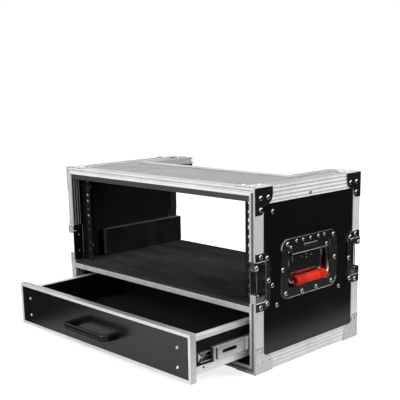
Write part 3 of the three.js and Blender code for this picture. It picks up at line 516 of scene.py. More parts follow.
# Where a finish ends, in metres
RIM_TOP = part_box("front_rim_top")[1].z
RIM_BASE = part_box("front_rim_bottom")[0].z
RIM_INNER = rim_high.x - rim_low.x - 0.0009
GROOVE_OUT, GROOVE_IN = 0.0034, 0.0089
GROOVE_TOP, GROOVE_BOTTOM = 0.0006, 0.0055
SKIN = 0.0004
PRESSED, PRESSED_REACH = 0.0003, 0.00075
NOTCH_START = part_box("rear_rim_top")[0].y + 0.022
BOARD_END = SIDE - 0.05
SLOT_HALF = 0.0192
TAB_BACK = BACK - SHEET / 2
EYE_BACK = BACK - 0.0052
inner_low, inner_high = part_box("slide_inner_right")
SLIDE_MIDDLE = (inner_low.z + inner_high.z) / 2
CHANNEL_NEAR, CHANNEL_FAR, CHANNEL_HALF = 0.2452, 0.2459, 0.0074
LEVER_START, HOOK_END = inner_low.y + 0.0155, inner_low.y + 0.0172
LEVER_HALF = 0.0065
RAIL_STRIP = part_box("rack_rail_right")[0].x + 0.0155

# How squarely a face has to look along an axis
MOSTLY, SQUARELY, PARTLY, BARELY = 0.7, 0.9, 0.2, 0.1
STEEPEST_SLOPE, EDGEWAYS = 0.965, 0.5


def on_pressed_edge(edge):
    """Whether a dish's edge is a pressed one: its rim's, its mouth's or its cover's."""
    middle = (edge.verts[0].co + edge.verts[1].co) / 2
    return DISH_FACE - PRESSED < abs(middle.x) < DISH_COVER + PRESSED


# Each chooser below takes a face of the finished mesh


def faces_up(face):
    return face.normal.z > MOSTLY


def faces_partly_up(face):
    return face.normal.z > PARTLY


def faces_sideways(face):
    return abs(face.normal.x) > MOSTLY


def on_slope(face):
    """The slopes of shallow V grooves."""
    return SQUARELY < max(abs(part) for part in face.normal) < STEEPEST_SLOPE


def on_upper_rib(face):
    return faces_up(face) and on_slope(face)


def beside_notch(face):
    """The top's edging beside the cut-out, with its skirt's inner faces."""
    inward = face.normal.x * face.center.x < -BARELY
    return face.center.y > NOTCH_START and (faces_up(face) or inward)


def on_notch_rib(face):
    """The rib lines of that edging."""
    return face.center.y > NOTCH_START and on_upper_rib(face)


def on_board_end(face):
    """The top board's ends in the extrusion beside the cut-out."""
    return abs(face.normal.x) > SQUARELY and abs(face.center.x) < BOARD_END


def in_pocket(face):
    """The latch plate's recess with its keeper, without its front tabs."""
    return abs(face.center.x) < PANEL_FACE - SKIN and abs(face.center.y) < TAB_BACK


def on_rim_face(face):
    """The part of the latch plate that lies on the rim's face."""
    return abs(face.center.y) > TAB_BACK and abs(face.normal.y) > SQUARELY


def on_slot_strip(face):
    """The narrow strip that joins the two tabs beside the slot."""
    return on_rim_face(face) and abs(face.center.z - LATCH_MIDDLE) < SLOT_HALF


def on_lower_tab(face):
    """The tab below the latch plate's slot."""
    return on_rim_face(face) and face.center.z < LATCH_MIDDLE - SLOT_HALF


def on_eye(face):
    """The left latch plate's upper tab and padlock eye."""
    high = face.center.z > LATCH_MIDDLE + SLOT_HALF
    return face.center.x < 0 and high and abs(face.center.y) > EYE_BACK


def on_pocket_side(face):
    """The four walls of the handle's pocket."""
    return abs(face.center.x) < DISH_FACE - PRESSED and abs(face.normal.x) < EDGEWAYS


def on_dish_floor(face):
    """The floor of the handle's pocket."""
    return abs(face.center.x) < DISH_FLOOR + SHEET / 2 and abs(face.normal.x) > SQUARELY


def in_channel(face):
    """The web of the slide's inner member, shown in the lever's black, and the plastic
    part of its lever.
    """
    up = abs(face.center.z - SLIDE_MIDDLE)
    web = CHANNEL_NEAR < abs(face.center.x) < CHANNEL_FAR and up < CHANNEL_HALF
    return web or (up < LEVER_HALF and face.center.y > LEVER_START)


def on_lever_hook(face):
    """The bent front end of the slide's release lever."""
    return abs(face.center.z - SLIDE_MIDDLE) < LEVER_HALF and face.center.y < HOOK_END


def on_rail_leg(face):
    return abs(face.center.x) > RAIL_STRIP


def rim_finishes(node):
    """Painted shade in the extrusion's groove, on its inner flange and on the rib lines of
    both flanges; painted light and shade on some upper faces.
    """
    upright = node.endswith(("left", "right"))
    along = "z" if upright else "x"

    def inward(face):
        if upright:
            return SIDE - abs(face.center.x)
        z = face.center.z
        return RIM_TOP - z if node.endswith("top") else z - RIM_BASE

    def deep(face):
        return min(face.center.y - FRONT, BACK - face.center.y)

    def in_groove(face):
        across = GROOVE_OUT < inward(face) < GROOVE_IN
        return across and GROOVE_TOP < deep(face) < GROOVE_BOTTOM

    def inside(face):
        return inward(face) > RIM_INNER and deep(face) > SKIN

    def rib_inside(face):
        return inside(face) and on_slope(face)

    extra = {
        "rear_rim_top": [
            (NOTCH_STRIP, faces_up), (RIB_LINE, on_upper_rib),
            (UPPER_FACE, beside_notch), (UPPER_RIB, on_notch_rib),
        ],
        "front_rim_top": [(TOP_RIM_ABOVE, faces_up)],
    }.get(node, [])
    if node.startswith("rear"):
        return [(GROOVE[along], in_groove), (REAR_FLANGE, inside), *extra]
    # The top and left front rims take the lighter groove, which is painted light
    grooves = LIT_GROOVE if node in ("front_rim_top", "front_rim_left") else GROOVE
    flange = [(INNER_FLANGE[along], inside), (grooves[along], in_groove)]
    return [*flange, (RIB_SHADE, rib_inside), *extra]


RIBBED = 12
# Painted shade on the edging's rib slopes, upper faces and upper ribs
EDGING = [(RIB_LINE, on_slope), (UPPER_FACE, faces_up), (UPPER_RIB, on_upper_rib)]
for node in sorted(frame["nodes"]):
    if "_edging_" in node:
        softened(node, 0, RIBBED, others=EDGING)
    if "_rim_" in node:
        cut = [(Y, (NOTCH_START,))] if node == "rear_rim_top" else ()
        softened(node, 0, RIBBED, seams=cut, others=rim_finishes(node))


def look(width, *others, **more):
    return {"width": width, "others": others, **more}


# How far each piece's edges are broken, and where it has other finishes, most of them
# painted shade or painted light
SOFT_EDGES = {
    "top_panel": look(0, (UPPER_FACE, on_board_end)),
    # Corner brackets: painted shade on their upward faces
    "corner_": look(0.00045, (UPPER_BRACKET_SHADE, faces_partly_up)),
    # Latch plates: painted shade in the pocket, on the rim face and on the slot strip,
    # painted light on the lower tab and the left eye
    "latch_plate": look(
        0.00035,
        (POCKET_SHADE, in_pocket),
        (POCKET_SHADE, on_rim_face),
        (SHADED_ZINC, on_slot_strip),
        (TAB_LIGHT, on_lower_tab),
        (TAB_LIGHT, on_eye),
        seams=[(Z, (LATCH_MIDDLE - SLOT_HALF, LATCH_MIDDLE + SLOT_HALF))],
    ),
    # Handle dishes: painted shade on the pocket's walls and floor
    "handle_dish": look(
        0.00045,
        (POCKET_WALL_SHADE, on_pocket_side),
        (POCKET_FLOOR_SHADE, on_dish_floor),
        wide=(PRESSED_REACH, on_pressed_edge),
    ),
    # Rack rails: painted shade on the leg beside the wall
    "rack_rail": look(
        0.0003, (RAIL_SHADE, on_rail_leg), seams=[(X, (-RAIL_STRIP, RAIL_STRIP))]
    ),
    "slide_outer": look(0.0002),
    "slide_middle": look(0.0002, (SHADED_ZINC, faces_up)),
    # Slide inner member: its web takes the lever's black, darker than its zinc
    "slide_inner": look(
        0.0002, (LEVER_BLACK, in_channel), (LEVER_BRIGHT, on_lever_hook)
    ),
    "drawer_side_cap": look(0.0003),
    "drawer_side_foot": look(0.0003),
    # Drawer trim: painted shade on its top and its ends
    "drawer_front_trim": look(0.0005, (TRIM_TOP, faces_up), (TRIM_END, faces_sideways)),
    "shelf_strip": look(0.0004),
    "top_board": look(0.0004),
}

for node in sorted(frame["nodes"]):
    for start, given in SOFT_EDGES.items():
        if node.startswith(start):
            softened(node, **given)

# Rivets, screws and bolts

RIVET_RADIUS = 0.0041
BURIED = -0.0001


def capped(name, crown, radius, steps):
    """A head with the given crown and its foot just in the face that it sits on."""
    return as_mesh(spun([*crown, (radius, BURIED), (0, BURIED)], steps), name)


def dome_head(name, radius, height, steps):
    """Domed rivet head: a crowned cap with a short upright rim."""
    rim = height * 0.22
    arc = [
        (radius * math.sin(turn), rim + (height - rim) * math.cos(turn))
        for turn in (QUARTER * step / 5 for step in range(1, 6))
    ]
    return capped(name, [(0, height), *arc], radius, steps)


def cross_head(name, radius, height):
    """Pan head with a crossed recess."""
    arc = [
        (
            radius * (0.72 + 0.28 * math.sin(turn)),
            height * (0.45 + 0.55 * math.cos(turn)),
        )
        for turn in (QUARTER * step / 3 for step in range(4))
    ]
    bm = spun([(0, height), *arc, (radius, BURIED), (0, BURIED)], 18)
    half, reach, depth = radius * 0.13, radius * 0.55, height * 0.5
    for offset in (-reach, -half, half, reach):
        for normal in (X, Y):
            divided(bm, normal, [offset])

    def in_cross(face):
        x, y, z = face.calc_center_median()
        inside = max(abs(x), abs(y)) < reach and min(abs(x), abs(y)) < half
        return inside and z > height * 0.9

    floor = [face for face in bm.faces if in_cross(face)]
    sunk = bmesh.ops.extrude_face_region(bm, geom=floor)["geom"]
    bmesh.ops.delete(bm, geom=floor, context="FACES_ONLY")
    bmesh.ops.translate(bm, vec=-Z * depth, verts=only(VERT, sunk))
    bmesh.ops.recalc_face_normals(bm, faces=bm.faces)
    return as_mesh(bm, name)


def socket_head(name, radius, height):
    """Rack bolt: flanged head with a washer under it."""
    washer = height * 0.3
    crown = [
        (0, height * 0.7), (radius * 0.36, height * 0.7), (radius * 0.42, height),
        (radius * 0.66, height), (radius * 0.74, height * 0.88),
        (radius * 0.76, washer), (radius * 0.96, washer), (radius, washer * 0.7),
    ]
    return capped(name, crown, radius, 20)


rivet = dome_head("rivet_head", RIVET_RADIUS, 0.0019, 14)
small_rivet = dome_head("small_rivet_head", 0.0031, 0.0014, 12)
flat_rivet = dome_head("flat_rivet_head", RIVET_RADIUS, 0.0006, 12)
tiny_rivet = dome_head("tiny_rivet_head", 0.0017, 0.0007, 10)
tail = dome_head("rivet_tail", 0.0016, 0.0011, 8)
edging_screw = cross_head("edging_screw_head", 0.0036, 0.0014)
front_screw = cross_head("front_screw_head", 0.003, 0.0015)
rack_bolt = socket_head("rack_bolt_head", 0.0052, 0.0026)


def add_fasteners(name, places, finish=RIVET, body="case"):
    """Heads at the (centre, facing, head) places and at their mirror images."""
    bm = bmesh.new()
    turn = 0
    for centre, facing, head in places:
        for sign in (1, -1):
            across = Vector((sign, 1, 1))
            stamp(bm, head, Vector(centre) * across, facing * across, 0.7 * turn)
            turn += 1
    finished(name, bm, body, "chrome", finish, sharp=40)


# Rivets of a corner bracket: along the depth from the rim, and in from the outer edge
BRACKET_RIVETS = ((0.014, 0.018), (0.0333, 0.0184), (0.014, 0.0383))
# Rivets of a latch plate: along the depth as above, and up and down from its middle
LATCH_RIVETS = ((0.0135, 0.045), (0.0305, 0.0408), (0.0345, 0.0))
# Ends of a latch plate's keeper, and the rivets' tails on its backing
KEEPER_FACE, KEEPER_IN, KEEPER_UP = 0.2672, 0.010, 0.0235
BACKING_FACE = rim_low.x - SKIN
BACKING_TAILS = ((0.0027, 0.1915), (0.0055, 0.1905), (0.0125, 0.181), (0.013, 0.146))

# Heads on the side, as (from the front plane, from the edging's underside)
DISH_RIVETS = (
    (0.0743, 0.176), (0.226, 0.175), (0.0828, 0.131),
    (0.1292, 0.1273), (0.1708, 0.1274), (0.2167, 0.1305),
)
COVER_RIVETS = ((0.086, 0.221), (0.2197, 0.220))
SPRING_RIVETS = [(back, 0.2235) for back in (0.1106, 0.1297, 0.1509, 0.1743, 0.192)]
CORNER_RIVETS = ((0.095, 0.2135), (0.199, 0.2052))
FLOOR_RIVETS = (
    (0.114, 0.1905), (0.114, 0.185), (0.154, 0.1912), (0.154, 0.1845),
    (0.1405, 0.1885), (0.169, 0.1875), (0.197, 0.190), (0.1995, 0.1845),
)
# Bolts through the side walls: two hold the rail, two the shelf
WALL_BOLTS = ((0.0472, 0.2848), (0.0467, 0.1534), (0.059, 0.1154), (0.242, 0.1142))
EDGING_SCREWS = ((0.149, 0.307), (0.149, 0.020))


def bracket_places():
    for along, inward in BRACKET_RIVETS:
        for y in (FRONT + along, BACK - along):
            yield (PLATE_FACE, y, TOP - inward), X, rivet
            yield (PLATE_FACE, y, BASE + inward), X, rivet
            yield (SIDE - inward, y, BRACKET_TOP), Z, rivet
            yield (SIDE - inward, y, BASE - (BRACKET_TOP - TOP)), -Z, flat_rivet


def latch_places():
    for along, up in LATCH_RIVETS:
        for rise in (up, -up) if up else (0,):
            for y in (FRONT + along, BACK - along):
                yield (PLATE_FACE, y, LATCH_MIDDLE + rise), X, rivet


def side_places(*groups):
    for face, head, rows in groups:
        for back, up in rows:
            yield (face, FRONT + back, BASE + up), X, head


keeper_ends = [
    ((KEEPER_FACE, y, LATCH_MIDDLE + up), X, tail)
    for y in (FRONT + KEEPER_IN, BACK - KEEPER_IN) for up in (KEEPER_UP, -KEEPER_UP)
]
tails = [((BACKING_FACE, FRONT + back, z), -X, tail) for back, z in BACKING_TAILS]
dish_heads = side_places(
    (DISH_FACE, rivet, DISH_RIVETS),
    (COVER_FACE, rivet, COVER_RIVETS),
    (COVER_FACE, small_rivet, SPRING_RIVETS),
    (COVER_FACE, small_rivet, CORNER_RIVETS),
    (DISH_FLOOR, tiny_rivet, FLOOR_RIVETS),
)
wall_heads = side_places(
    (PANEL_FACE, rivet, WALL_BOLTS), (SIDE, edging_screw, EDGING_SCREWS)
)
rail_low, rail_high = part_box("rack_rail_right")
RAIL_LEG = 0.002
BOLT_BACK, BOLT_UP, BOLT_DOWN = 0.0465, 0.0256, 0.0208
rail_bolts = [
    ((WALL_IN - RAIL_LEG, FRONT + BOLT_BACK, z), -X, rack_bolt)
    for z in (rail_low.z + BOLT_UP, rail_high.z - BOLT_DOWN)
]
for name, places in (
    ("keeper_rivets", keeper_ends),
    ("backing_rivet_tails", tails),
    ("bracket_rivets", bracket_places()),
    ("latch_rivets", latch_places()),
    ("handle_dish_rivets", dish_heads),
    ("wall_bolts_and_screws", wall_heads),
    ("rail_bolts", rail_bolts),
):
    add_fasteners(name, places)

board_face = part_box("drawer_front_board")[0].y
DRAWER_SCREWS = ((0.2215, 0.0755), (0.2215, 0.041))
drawer_screws = [((x, board_face, BASE + z), -Y, front_screw) for x, z in DRAWER_SCREWS]
add_fasteners("drawer_front_screws", drawer_screws, body="drawer")

# Pull and side handles


def rounded_section(bm, half_x, half_z, radius, centre):
    """A rounded rectangle loop of edges, upright across the case, round a centre."""
    verts = bmesh.ops.create_grid(bm, x_segments=1, y_segments=1, size=1)["verts"]
    bmesh.ops.scale(bm, vec=(half_x, half_z, 1), verts=verts)
    bmesh.ops.bevel(
        bm, geom=verts, offset=radius, offset_type="OFFSET", affect="VERTICES",
        segments=5, profile=0.5, material=-1,
    )
    upright = Matrix((X, Z, X.cross(Z))).transposed().to_4x4()
    bmesh.ops.transform(bm, matrix=Matrix.Translation(centre) @ upright, verts=bm.verts)
    bmesh.ops.delete(bm, geom=bm.faces[:], context="FACES_ONLY")
    return bm.edges[:]


def laid(bm, verts, place, angle=QUARTER):
    """Lays what stands on Z along Y, and carries it to its place."""
    turn = Matrix.Rotation(angle, 3, "X")
    bmesh.ops.rotate(bm, verts=verts, cent=(0, 0, 0), matrix=turn)
    bmesh.ops.translate(bm, verts=verts, vec=place)


def swept(bm, edges, moves):
    """Carries a loop of edges along its moves, and closes both ends.

    A move is a run, given as a vector, or a quarter turn: its centre, axis and steps.
    """
    first = list(edges)
    for move in moves:
        if isinstance(move, Vector):
            grown = bmesh.ops.extrude_edge_only(bm, edges=edges)["geom"]
            edges = only(EDGE, grown)
            verts = {vert for edge in edges for vert in edge.verts}
            bmesh.ops.translate(bm, vec=move, verts=list(verts))
        else:
            centre, axis, steps = move
            grown = bmesh.ops.spin(
                bm, geom=edges + list({v for e in edges for v in e.verts}),
                cent=centre, axis=axis, dvec=(0, 0, 0), angle=QUARTER, steps=steps,
                use_merge=False, use_duplicate=False,
            )["geom_last"]
            edges = only(EDGE, grown)
    for loop in (first, edges):
        bmesh.ops.edgeloop_fill(bm, edges=loop)


def bent_wire(radius, place, moves, segments=10):
    """A round wire that sets out along Y from a place."""
    bm = bmesh.new()
    verts = bmesh.ops.create_circle(bm, segments=segments, radius=radius)["verts"]
    laid(bm, verts, place)
    swept(bm, bm.edges[:], moves)
    return bm


# How much fuller the moulded pull is than its plain solid
PULL_TALLER, PULL_LONGER, PULL_LOWER, PULL_FURTHER = 0.0014, 0.0025, 0.0005, 0.0018
PULL_EDGE, PULL_THICK, PULL_BEND, PULL_FOOT = 0.0032, 0.0094, 0.0103, 0.004


def add_drawer_pull():
    """A moulded D: one rounded section swept out, across and back."""
    low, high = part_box("drawer_pull")
    tall = high.z - low.z + PULL_TALLER
    foot_x = high.x - PULL_THICK / 2 + PULL_LONGER
    middle_z = (low.z + high.z) / 2 - PULL_LOWER
    bm = bmesh.new()
    foot = Vector((foot_x, board_face, middle_z))
    section = rounded_section(bm, PULL_THICK / 2, tall / 2, PULL_EDGE, foot)
    out = high.y - low.y + PULL_FURTHER - PULL_THICK / 2 - PULL_BEND
    bend_x, bend_y = foot_x - PULL_BEND, board_face - out
    swept(bm, section, [
        -Y * PULL_FOOT,
        -Y * (out - PULL_FOOT),
        ((bend_x, bend_y, middle_z), -Z, 14),
        -X * bend_x,
        -X * bend_x,
        ((-bend_x, bend_y, middle_z), -Z, 14),
        Y * (out - PULL_FOOT),
        Y * PULL_FOOT,
    ])
    stand_in("drawer_pull", "drawer_pull_bar", bm, PULL_BLACK, 50)


add_drawer_pull()

BAIL_WIRE, BAIL_BEND, BAIL_STUB = 0.0032, 0.007, 0.042
GRIP_BORE = BAIL_WIRE + 0.0003
GRIP_MOUTH, GRIP_SUNK = GRIP_BORE + 0.0022, 0.0035
GRIP_WAIST, GRIP_WAIST_HALF = 0.0004, 0.012
RIB_COUNT, RIB_START, RIB_STEP, RIB_WIDE, RIB_DEEP = 5, 0.006, 0.0034, 0.0018, 0.0007
JOINTS = {row["name"]: row for row in frame["joints"]}


def add_bail(side, reach, placed):
    """Bent wire bail, lying in the dish."""
    low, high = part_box(f"handle_bail_{side}")
    spread = (high.y - low.y) / 2 - BAIL_WIRE
    far, drop = spread - BAIL_BEND, reach - BAIL_BEND
    run, down = Y * (far - BAIL_STUB), -Z * (reach - 2 * BAIL_BEND)
    bm = bent_wire(BAIL_WIRE, (0, BAIL_STUB, 0), [
        run,
        ((0, far, -BAIL_BEND), -X, 6),
        down,
        ((0, far, -drop), -X, 6),
        -Y * 2 * far,
        ((0, -far, -drop), -X, 6),
        -down,
        ((0, -far, -BAIL_BEND), -X, 6),
        run,
    ], 14)
    bmesh.ops.transform(bm, matrix=placed, verts=bm.verts)
    stand_in(f"handle_bail_{side}", f"bail_wire_{side}", bm, CHROME, 60)


def add_grip(side, radius, half, reach, placed):
    """Ribbed red sleeve on the bail."""
    ribs = []
    for index in range(RIB_COUNT):
        start = half - RIB_START - RIB_STEP * index
        valley = (radius - RIB_DEEP, start - RIB_WIDE / 2)
        ribs += [(radius, start), valley, (radius, start - RIB_WIDE)]
    upper = [
        (GRIP_BORE, half - GRIP_SUNK), (GRIP_MOUTH, half - GRIP_SUNK),
        (GRIP_MOUTH + 0.0003, half), (radius - 0.0018, half),
        (radius - 0.0005, half - 0.0006), (radius, half - 0.0019), *ribs,
    ]
    waist = [(radius - GRIP_WAIST, up) for up in (GRIP_WAIST_HALF, -GRIP_WAIST_HALF)]
    lower = [(r, -h) for r, h in reversed(upper)]
    bm = spun(upper + waist + lower + [upper[0]], 32)
    laid(bm, bm.verts, (0, 0, -reach), -QUARTER)
    bmesh.ops.transform(bm, matrix=placed, verts=bm.verts)
    stand_in(f"handle_grip_{side}", f"grip_sleeve_{side}", bm, GRIP_RED, 50)


for side, sign in SIDES.items():
    low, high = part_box(f"handle_grip_{side}")
    grip = (low + high) / 2
    pivot = Vector(JOINTS[f"handle_{side}_swing"]["pos_m"])
    reach = (grip - pivot).length
    lean = math.atan2(abs(grip.x - pivot.x), pivot.z - grip.z)
    placed = Matrix.Translation(pivot) @ Matrix.Rotation(-sign * lean, 4, "Y")
    add_bail(side, reach, placed)
    add_grip(side, (high.z - low.z) / 2, (high.y - low.y) / 2, reach, placed)

# Rolled edges of the handle dishes and latch plates

BEAD, BEAD_IN = 0.0006, 0.0002
DISH_ROUND = 0.019
COVER_HALF = 0.0525
COVER_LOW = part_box("handle_dish_right")[1].z - 0.030
LATCH_BEAD, LATCH_BEAD_IN, LATCH_BEAD_START = 0.0009, 0.0004, 0.0012
MOUTH_HALF, MOUTH_DEEP, MOUTH_ROUND = 0.0365, 0.0276, 0.003
EYE_UP, EYE_IN = 0.027, 0.0026
EYE_RING = (
    (0.0024, 0), (0.0027, 0.0007), (0.0035, 0.0011), (0.0043, 0.0007), (0.0047, 0)
)


def add_dish_beads(side, sign):
    """The bead round the dish's outer edge and the one under the cover."""
    low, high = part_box(f"handle_dish_{side}")
    middle_y = (low.y + high.y) / 2
    half_y = (high.y - low.y) / 2 - DISH_ROUND
    tall = high.z - low.z - 2 * DISH_ROUND
    turn_z, top_z = low.z + DISH_ROUND, high.z - DISH_ROUND
    left, right = middle_y - half_y, middle_y + half_y
    start = (DISH_FACE - BEAD_IN, middle_y, low.z + BEAD * 0.9)
    bm = bent_wire(BEAD, start, [
        Y * half_y,
        ((0, right, turn_z), X, 8),
        Z * tall,
        ((0, right, top_z), X, 8),
        -Y * half_y,
        -Y * half_y,
        ((0, left, top_z), X, 8),
        -Z * tall,
        ((0, left, turn_z), X, 8),
        Y * half_y,
    ])
    rod = bmesh.ops.create_cone(
        bm, cap_ends=True, segments=10, radius1=BEAD, radius2=BEAD, depth=2 * COVER_HALF
    )["verts"]
    laid(bm, rod, (COVER_FACE - BEAD_IN, middle_y, COVER_LOW + BEAD * 0.6))
    bmesh.ops.scale(bm, vec=(sign, 1, 1), verts=bm.verts)
    finished(f"dish_beads_{side}", bm, "case", "chrome", CHROME, sharp=60)


def add_latch_beads():
    """The rolled edge round the mouth of each latch plate's pocket."""
    low, high = LATCH_MIDDLE - MOUTH_HALF, LATCH_MIDDLE + MOUTH_HALF
    turn_y = FRONT + MOUTH_DEEP - MOUTH_ROUND
    start = Vector((LATCH_FACE - LATCH_BEAD_IN, FRONT + LATCH_BEAD_START, low))
    bm = bent_wire(LATCH_BEAD, start, [
        Y * (turn_y - start.y),
        ((0, turn_y, low + MOUTH_ROUND), X, 5),
        Z * (high - low - 2 * MOUTH_ROUND),
        ((0, turn_y, high - MOUTH_ROUND), X, 5),
        Y * (start.y - turn_y),
    ])
    for flip in ((-1, 1, 1), (1, -1, 1)):
        twin = bmesh.ops.duplicate(bm, geom=whole(bm))["geom"]
        bmesh.ops.scale(bm, vec=flip, verts=only(VERT, twin))
    finished("latch_beads", bm, "case", "chrome", RIVET, sharp=60)


add_latch_beads()
eye_ring = as_mesh(spun(EYE_RING, 18), "eye_ring")
eye_rings = [
    ((LATCH_FACE, y, LATCH_MIDDLE + EYE_UP), X, eye_ring)
    for y in (FRONT + EYE_IN, BACK - EYE_IN)
]
add_fasteners("padlock_eye_rings", eye_rings)
for side, sign in SIDES.items():
    add_dish_beads(side, sign)

# Small pieces of the posts, the slides and the drawer


def block(bm, low, high):
    """A plain block between two corners, and its mirror image."""
    for sign in (1, -1):
        verts = bmesh.ops.create_cube(bm, size=1)["verts"]
        size = [b - a for a, b in zip(low, high)]
        middle = Vector([(a + b) / 2 for a, b in zip(low, high)])
        middle.x *= sign
        bmesh.ops.scale(bm, vec=size, verts=verts)
        bmesh.ops.translate(bm, vec=middle, verts=verts)


# Backings behind the latch plates, each with a light edge, from low to high y
lining_low, lining_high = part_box("shelf_lining")
BACKING_BOTTOM, BACKING_TOP = lining_high.z + 0.0006, 0.2035
for name, finish, near, low_y, high_y in (
    ("latch_backings", BACKING_BLACK, 0, 0.001, 0.0226),
    ("latch_backing_edges", DRAWN["z"], 0.0001, 0.0227, 0.0236),
):
    bm = bmesh.new()
    block(
        bm, (BACKING_FACE - near, FRONT + low_y, BACKING_BOTTOM),
        (rim_low.x - 0.00005, FRONT + high_y, BACKING_TOP),
    )
    finished(name, bm, "case", "chrome", finish)

# Plated liners in the rail's holes, every rack unit with three of them
LINER = (
    (0.0017, 0), (0.0017, 0.0003), (0.0023, 0.0004), (0.0027, 0.0002),
    (0.0027, BURIED), (0.0017, BURIED),
)
RACK_UNIT, RACK_STEP, RACK_EDGE = 0.04445, 0.015875, 0.00635
HOLE_IN, STUD_IN = 0.0077, 0.001
STUDS = (0.257, 0.2698, 0.2254)
WALL_SCREW = (WALL_IN, FRONT + 0.0305, 0.204)
FOOT_SCREW_UP, FOOT_SCREWS = 0.036, (-0.2555, -0.05)

liner_ring = as_mesh(spun(LINER, 14), "liner_ring")
hole_x, hole_z = rail_low.x + HOLE_IN, rail_low.z + RACK_EDGE
liners = [
    ((hole_x, rail_low.y, hole_z + unit * RACK_UNIT + step * RACK_STEP), -Y, liner_ring)
    for unit in range(4) for step in range(3)
]
add_fasteners("rail_liners", liners, SCREW_STEEL)
# Three studs in the rail's holes and a wall screw, in the steel that paints their glints
studs = [((hole_x + STUD_IN, rail_low.y, z), -Y, tail) for z in STUDS]
add_fasteners("rail_studs", studs, GLINT_STEEL)
wall_head = dome_head("wall_screw_head", 0.0032, 0.0046, 12)
add_fasteners("wall_screws", [(WALL_SCREW, -X, wall_head)], GLINT_STEEL)

foot_screw = dome_head("foot_screw_head", 0.0022, 0.0005, 12)
foot_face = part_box("drawer_side_foot_right")[1].x
foot_screws = [((foot_face, y, FOOT_SCREW_UP), X, foot_screw) for y in FOOT_SCREWS]
add_fasteners("foot_screws", foot_screws, LEVER_BLACK, "drawer")


# Bumper and retainer: across the web, along from the member's front end, share of its
# height, and the waves' swing
BUMPERS = (
    ((-0.0028, -0.0002), (-0.0035, 0.0004), 0.78, 0.0009),
    ((-0.0002, 0.0004), (0.0062, 0.0098), 0.62, 0.0008),
)
MEMBER_SHEET, WAVES = 0.0008, 3


def wavy_plate(bm, across, along, middle, half, swing):
    """A thin upright plate whose long edges run in waves."""
    made = bmesh.ops.create_grid(bm, x_segments=1, y_segments=30, size=0.5)["verts"]
    for vert in made:
        up = vert.co.y + 0.5
        wave = swing * math.sin(up * WAVES * math.tau)
        y = along[0] + (along[1] - along[0]) * (vert.co.x + 0.5) + wave
        vert.co = Vector((across[0], y, middle - half + 2 * half * up))
    faces = list({face for vert in made for face in vert.link_faces})
    grown = bmesh.ops.extrude_face_region(bm, geom=faces)["geom"]
    thick = (across[1] - across[0], 0, 0)
    bmesh.ops.translate(bm, vec=thick, verts=only(VERT, grown))


def add_slide_bumpers(side, sign):
    """Black plastic at the middle member's front end: a bumper and a retainer."""
    low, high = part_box(f"slide_middle_{side}")
    centre, tall = (low.z + high.z) / 2, (high.z - low.z) / 2
    web = abs(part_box("slide_middle_right")[1].x) - MEMBER_SHEET
    bm = bmesh.new()
    for across, along, share, swing in BUMPERS:
        x, y = [web + part for part in across], [low.y + part for part in along]
        wavy_plate(bm, x, y, centre, tall * share, swing)
    bmesh.ops.scale(bm, vec=(sign, 1, 1), verts=bm.verts)
    slot = SLOT[f"slide_middle_{side}"]
    finished(f"slide_bumpers_{side}", bm, f"slide_{side}", slot, LEVER_BLACK, sharp=40)


for side, sign in SIDES.items():
    add_slide_bumpers(side, sign)

# Foam

LIP_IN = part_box("shelf_strip")[1].x
RIM_STEP = rim_high.y - FRONT - 0.0017
FOAM_ACROSS, FOAM_ALONG = 56, 34
FOAM_ROUND, FOAM_SAG, FOAM_WAVES = 0.0011, 0.0003, 16
BLOCK_ROUND, BLOCK_SAG, BLOCK_WAVES = 0.0022, 0.0004, 22
# Width of the painted-light band on the block's front end
BLOCK_LIT_BAND = 0.008


def even(low, high, count):
    """The places that part a length evenly, without its ends."""
    return [low + (high - low) * step / count for step in range(1, count)]


def add_shelf_foam():
    """The sheet on the shelf: narrow front and back tongues on a wide middle."""
    wide, front, back = lining_high.x, lining_low.y, lining_high.y
    first, last = FRONT + RIM_STEP, BACK - RIM_STEP
    bm = bmesh.new()
    verts = bmesh.ops.create_grid(bm, x_segments=1, y_segments=1, size=0.5)["verts"]
    bmesh.ops.scale(bm, vec=(2 * wide, back - front, 1), verts=verts)
    bmesh.ops.translate(bm, vec=(0, (front + back) / 2, lining_low.z), verts=verts)
    divided(bm, Y, (first, last), near=0)
    divided(bm, X, (-LIP_IN, LIP_IN), near=0)
    spare = []
    for face in bm.faces:
        centre = face.calc_center_median()
        if abs(centre.x) > LIP_IN and not first < centre.y < last:
            spare.append(face)
    bmesh.ops.delete(bm, geom=spare, context="FACES")
    divided(bm, X, even(-wide, wide, FOAM_ACROSS), near=1e-5)
    divided(bm, Y, even(front, back, FOAM_ALONG), near=1e-5)
    raised = bmesh.ops.extrude_face_region(bm, geom=bm.faces[:])["geom"]
    thick = Z * (lining_high.z - lining_low.z)
    bmesh.ops.translate(bm, vec=thick, verts=only(VERT, raised))

    def on_top(edge):
        return min(vert.co.z for vert in edge.verts) > lining_high.z - 1e-4

    rounded(bm, corners(bm, SHARP, on_top), FOAM_ROUND, 3)
    for vert in bm.verts:
        if vert.co.z > lining_high.z - 1e-5:
            vert.co.z -= FOAM_SAG * (1 + noise.noise(vert.co * FOAM_WAVES))
    lining = stand_in("shelf_lining", "shelf_foam_sheet", bm, FOAM, 60)


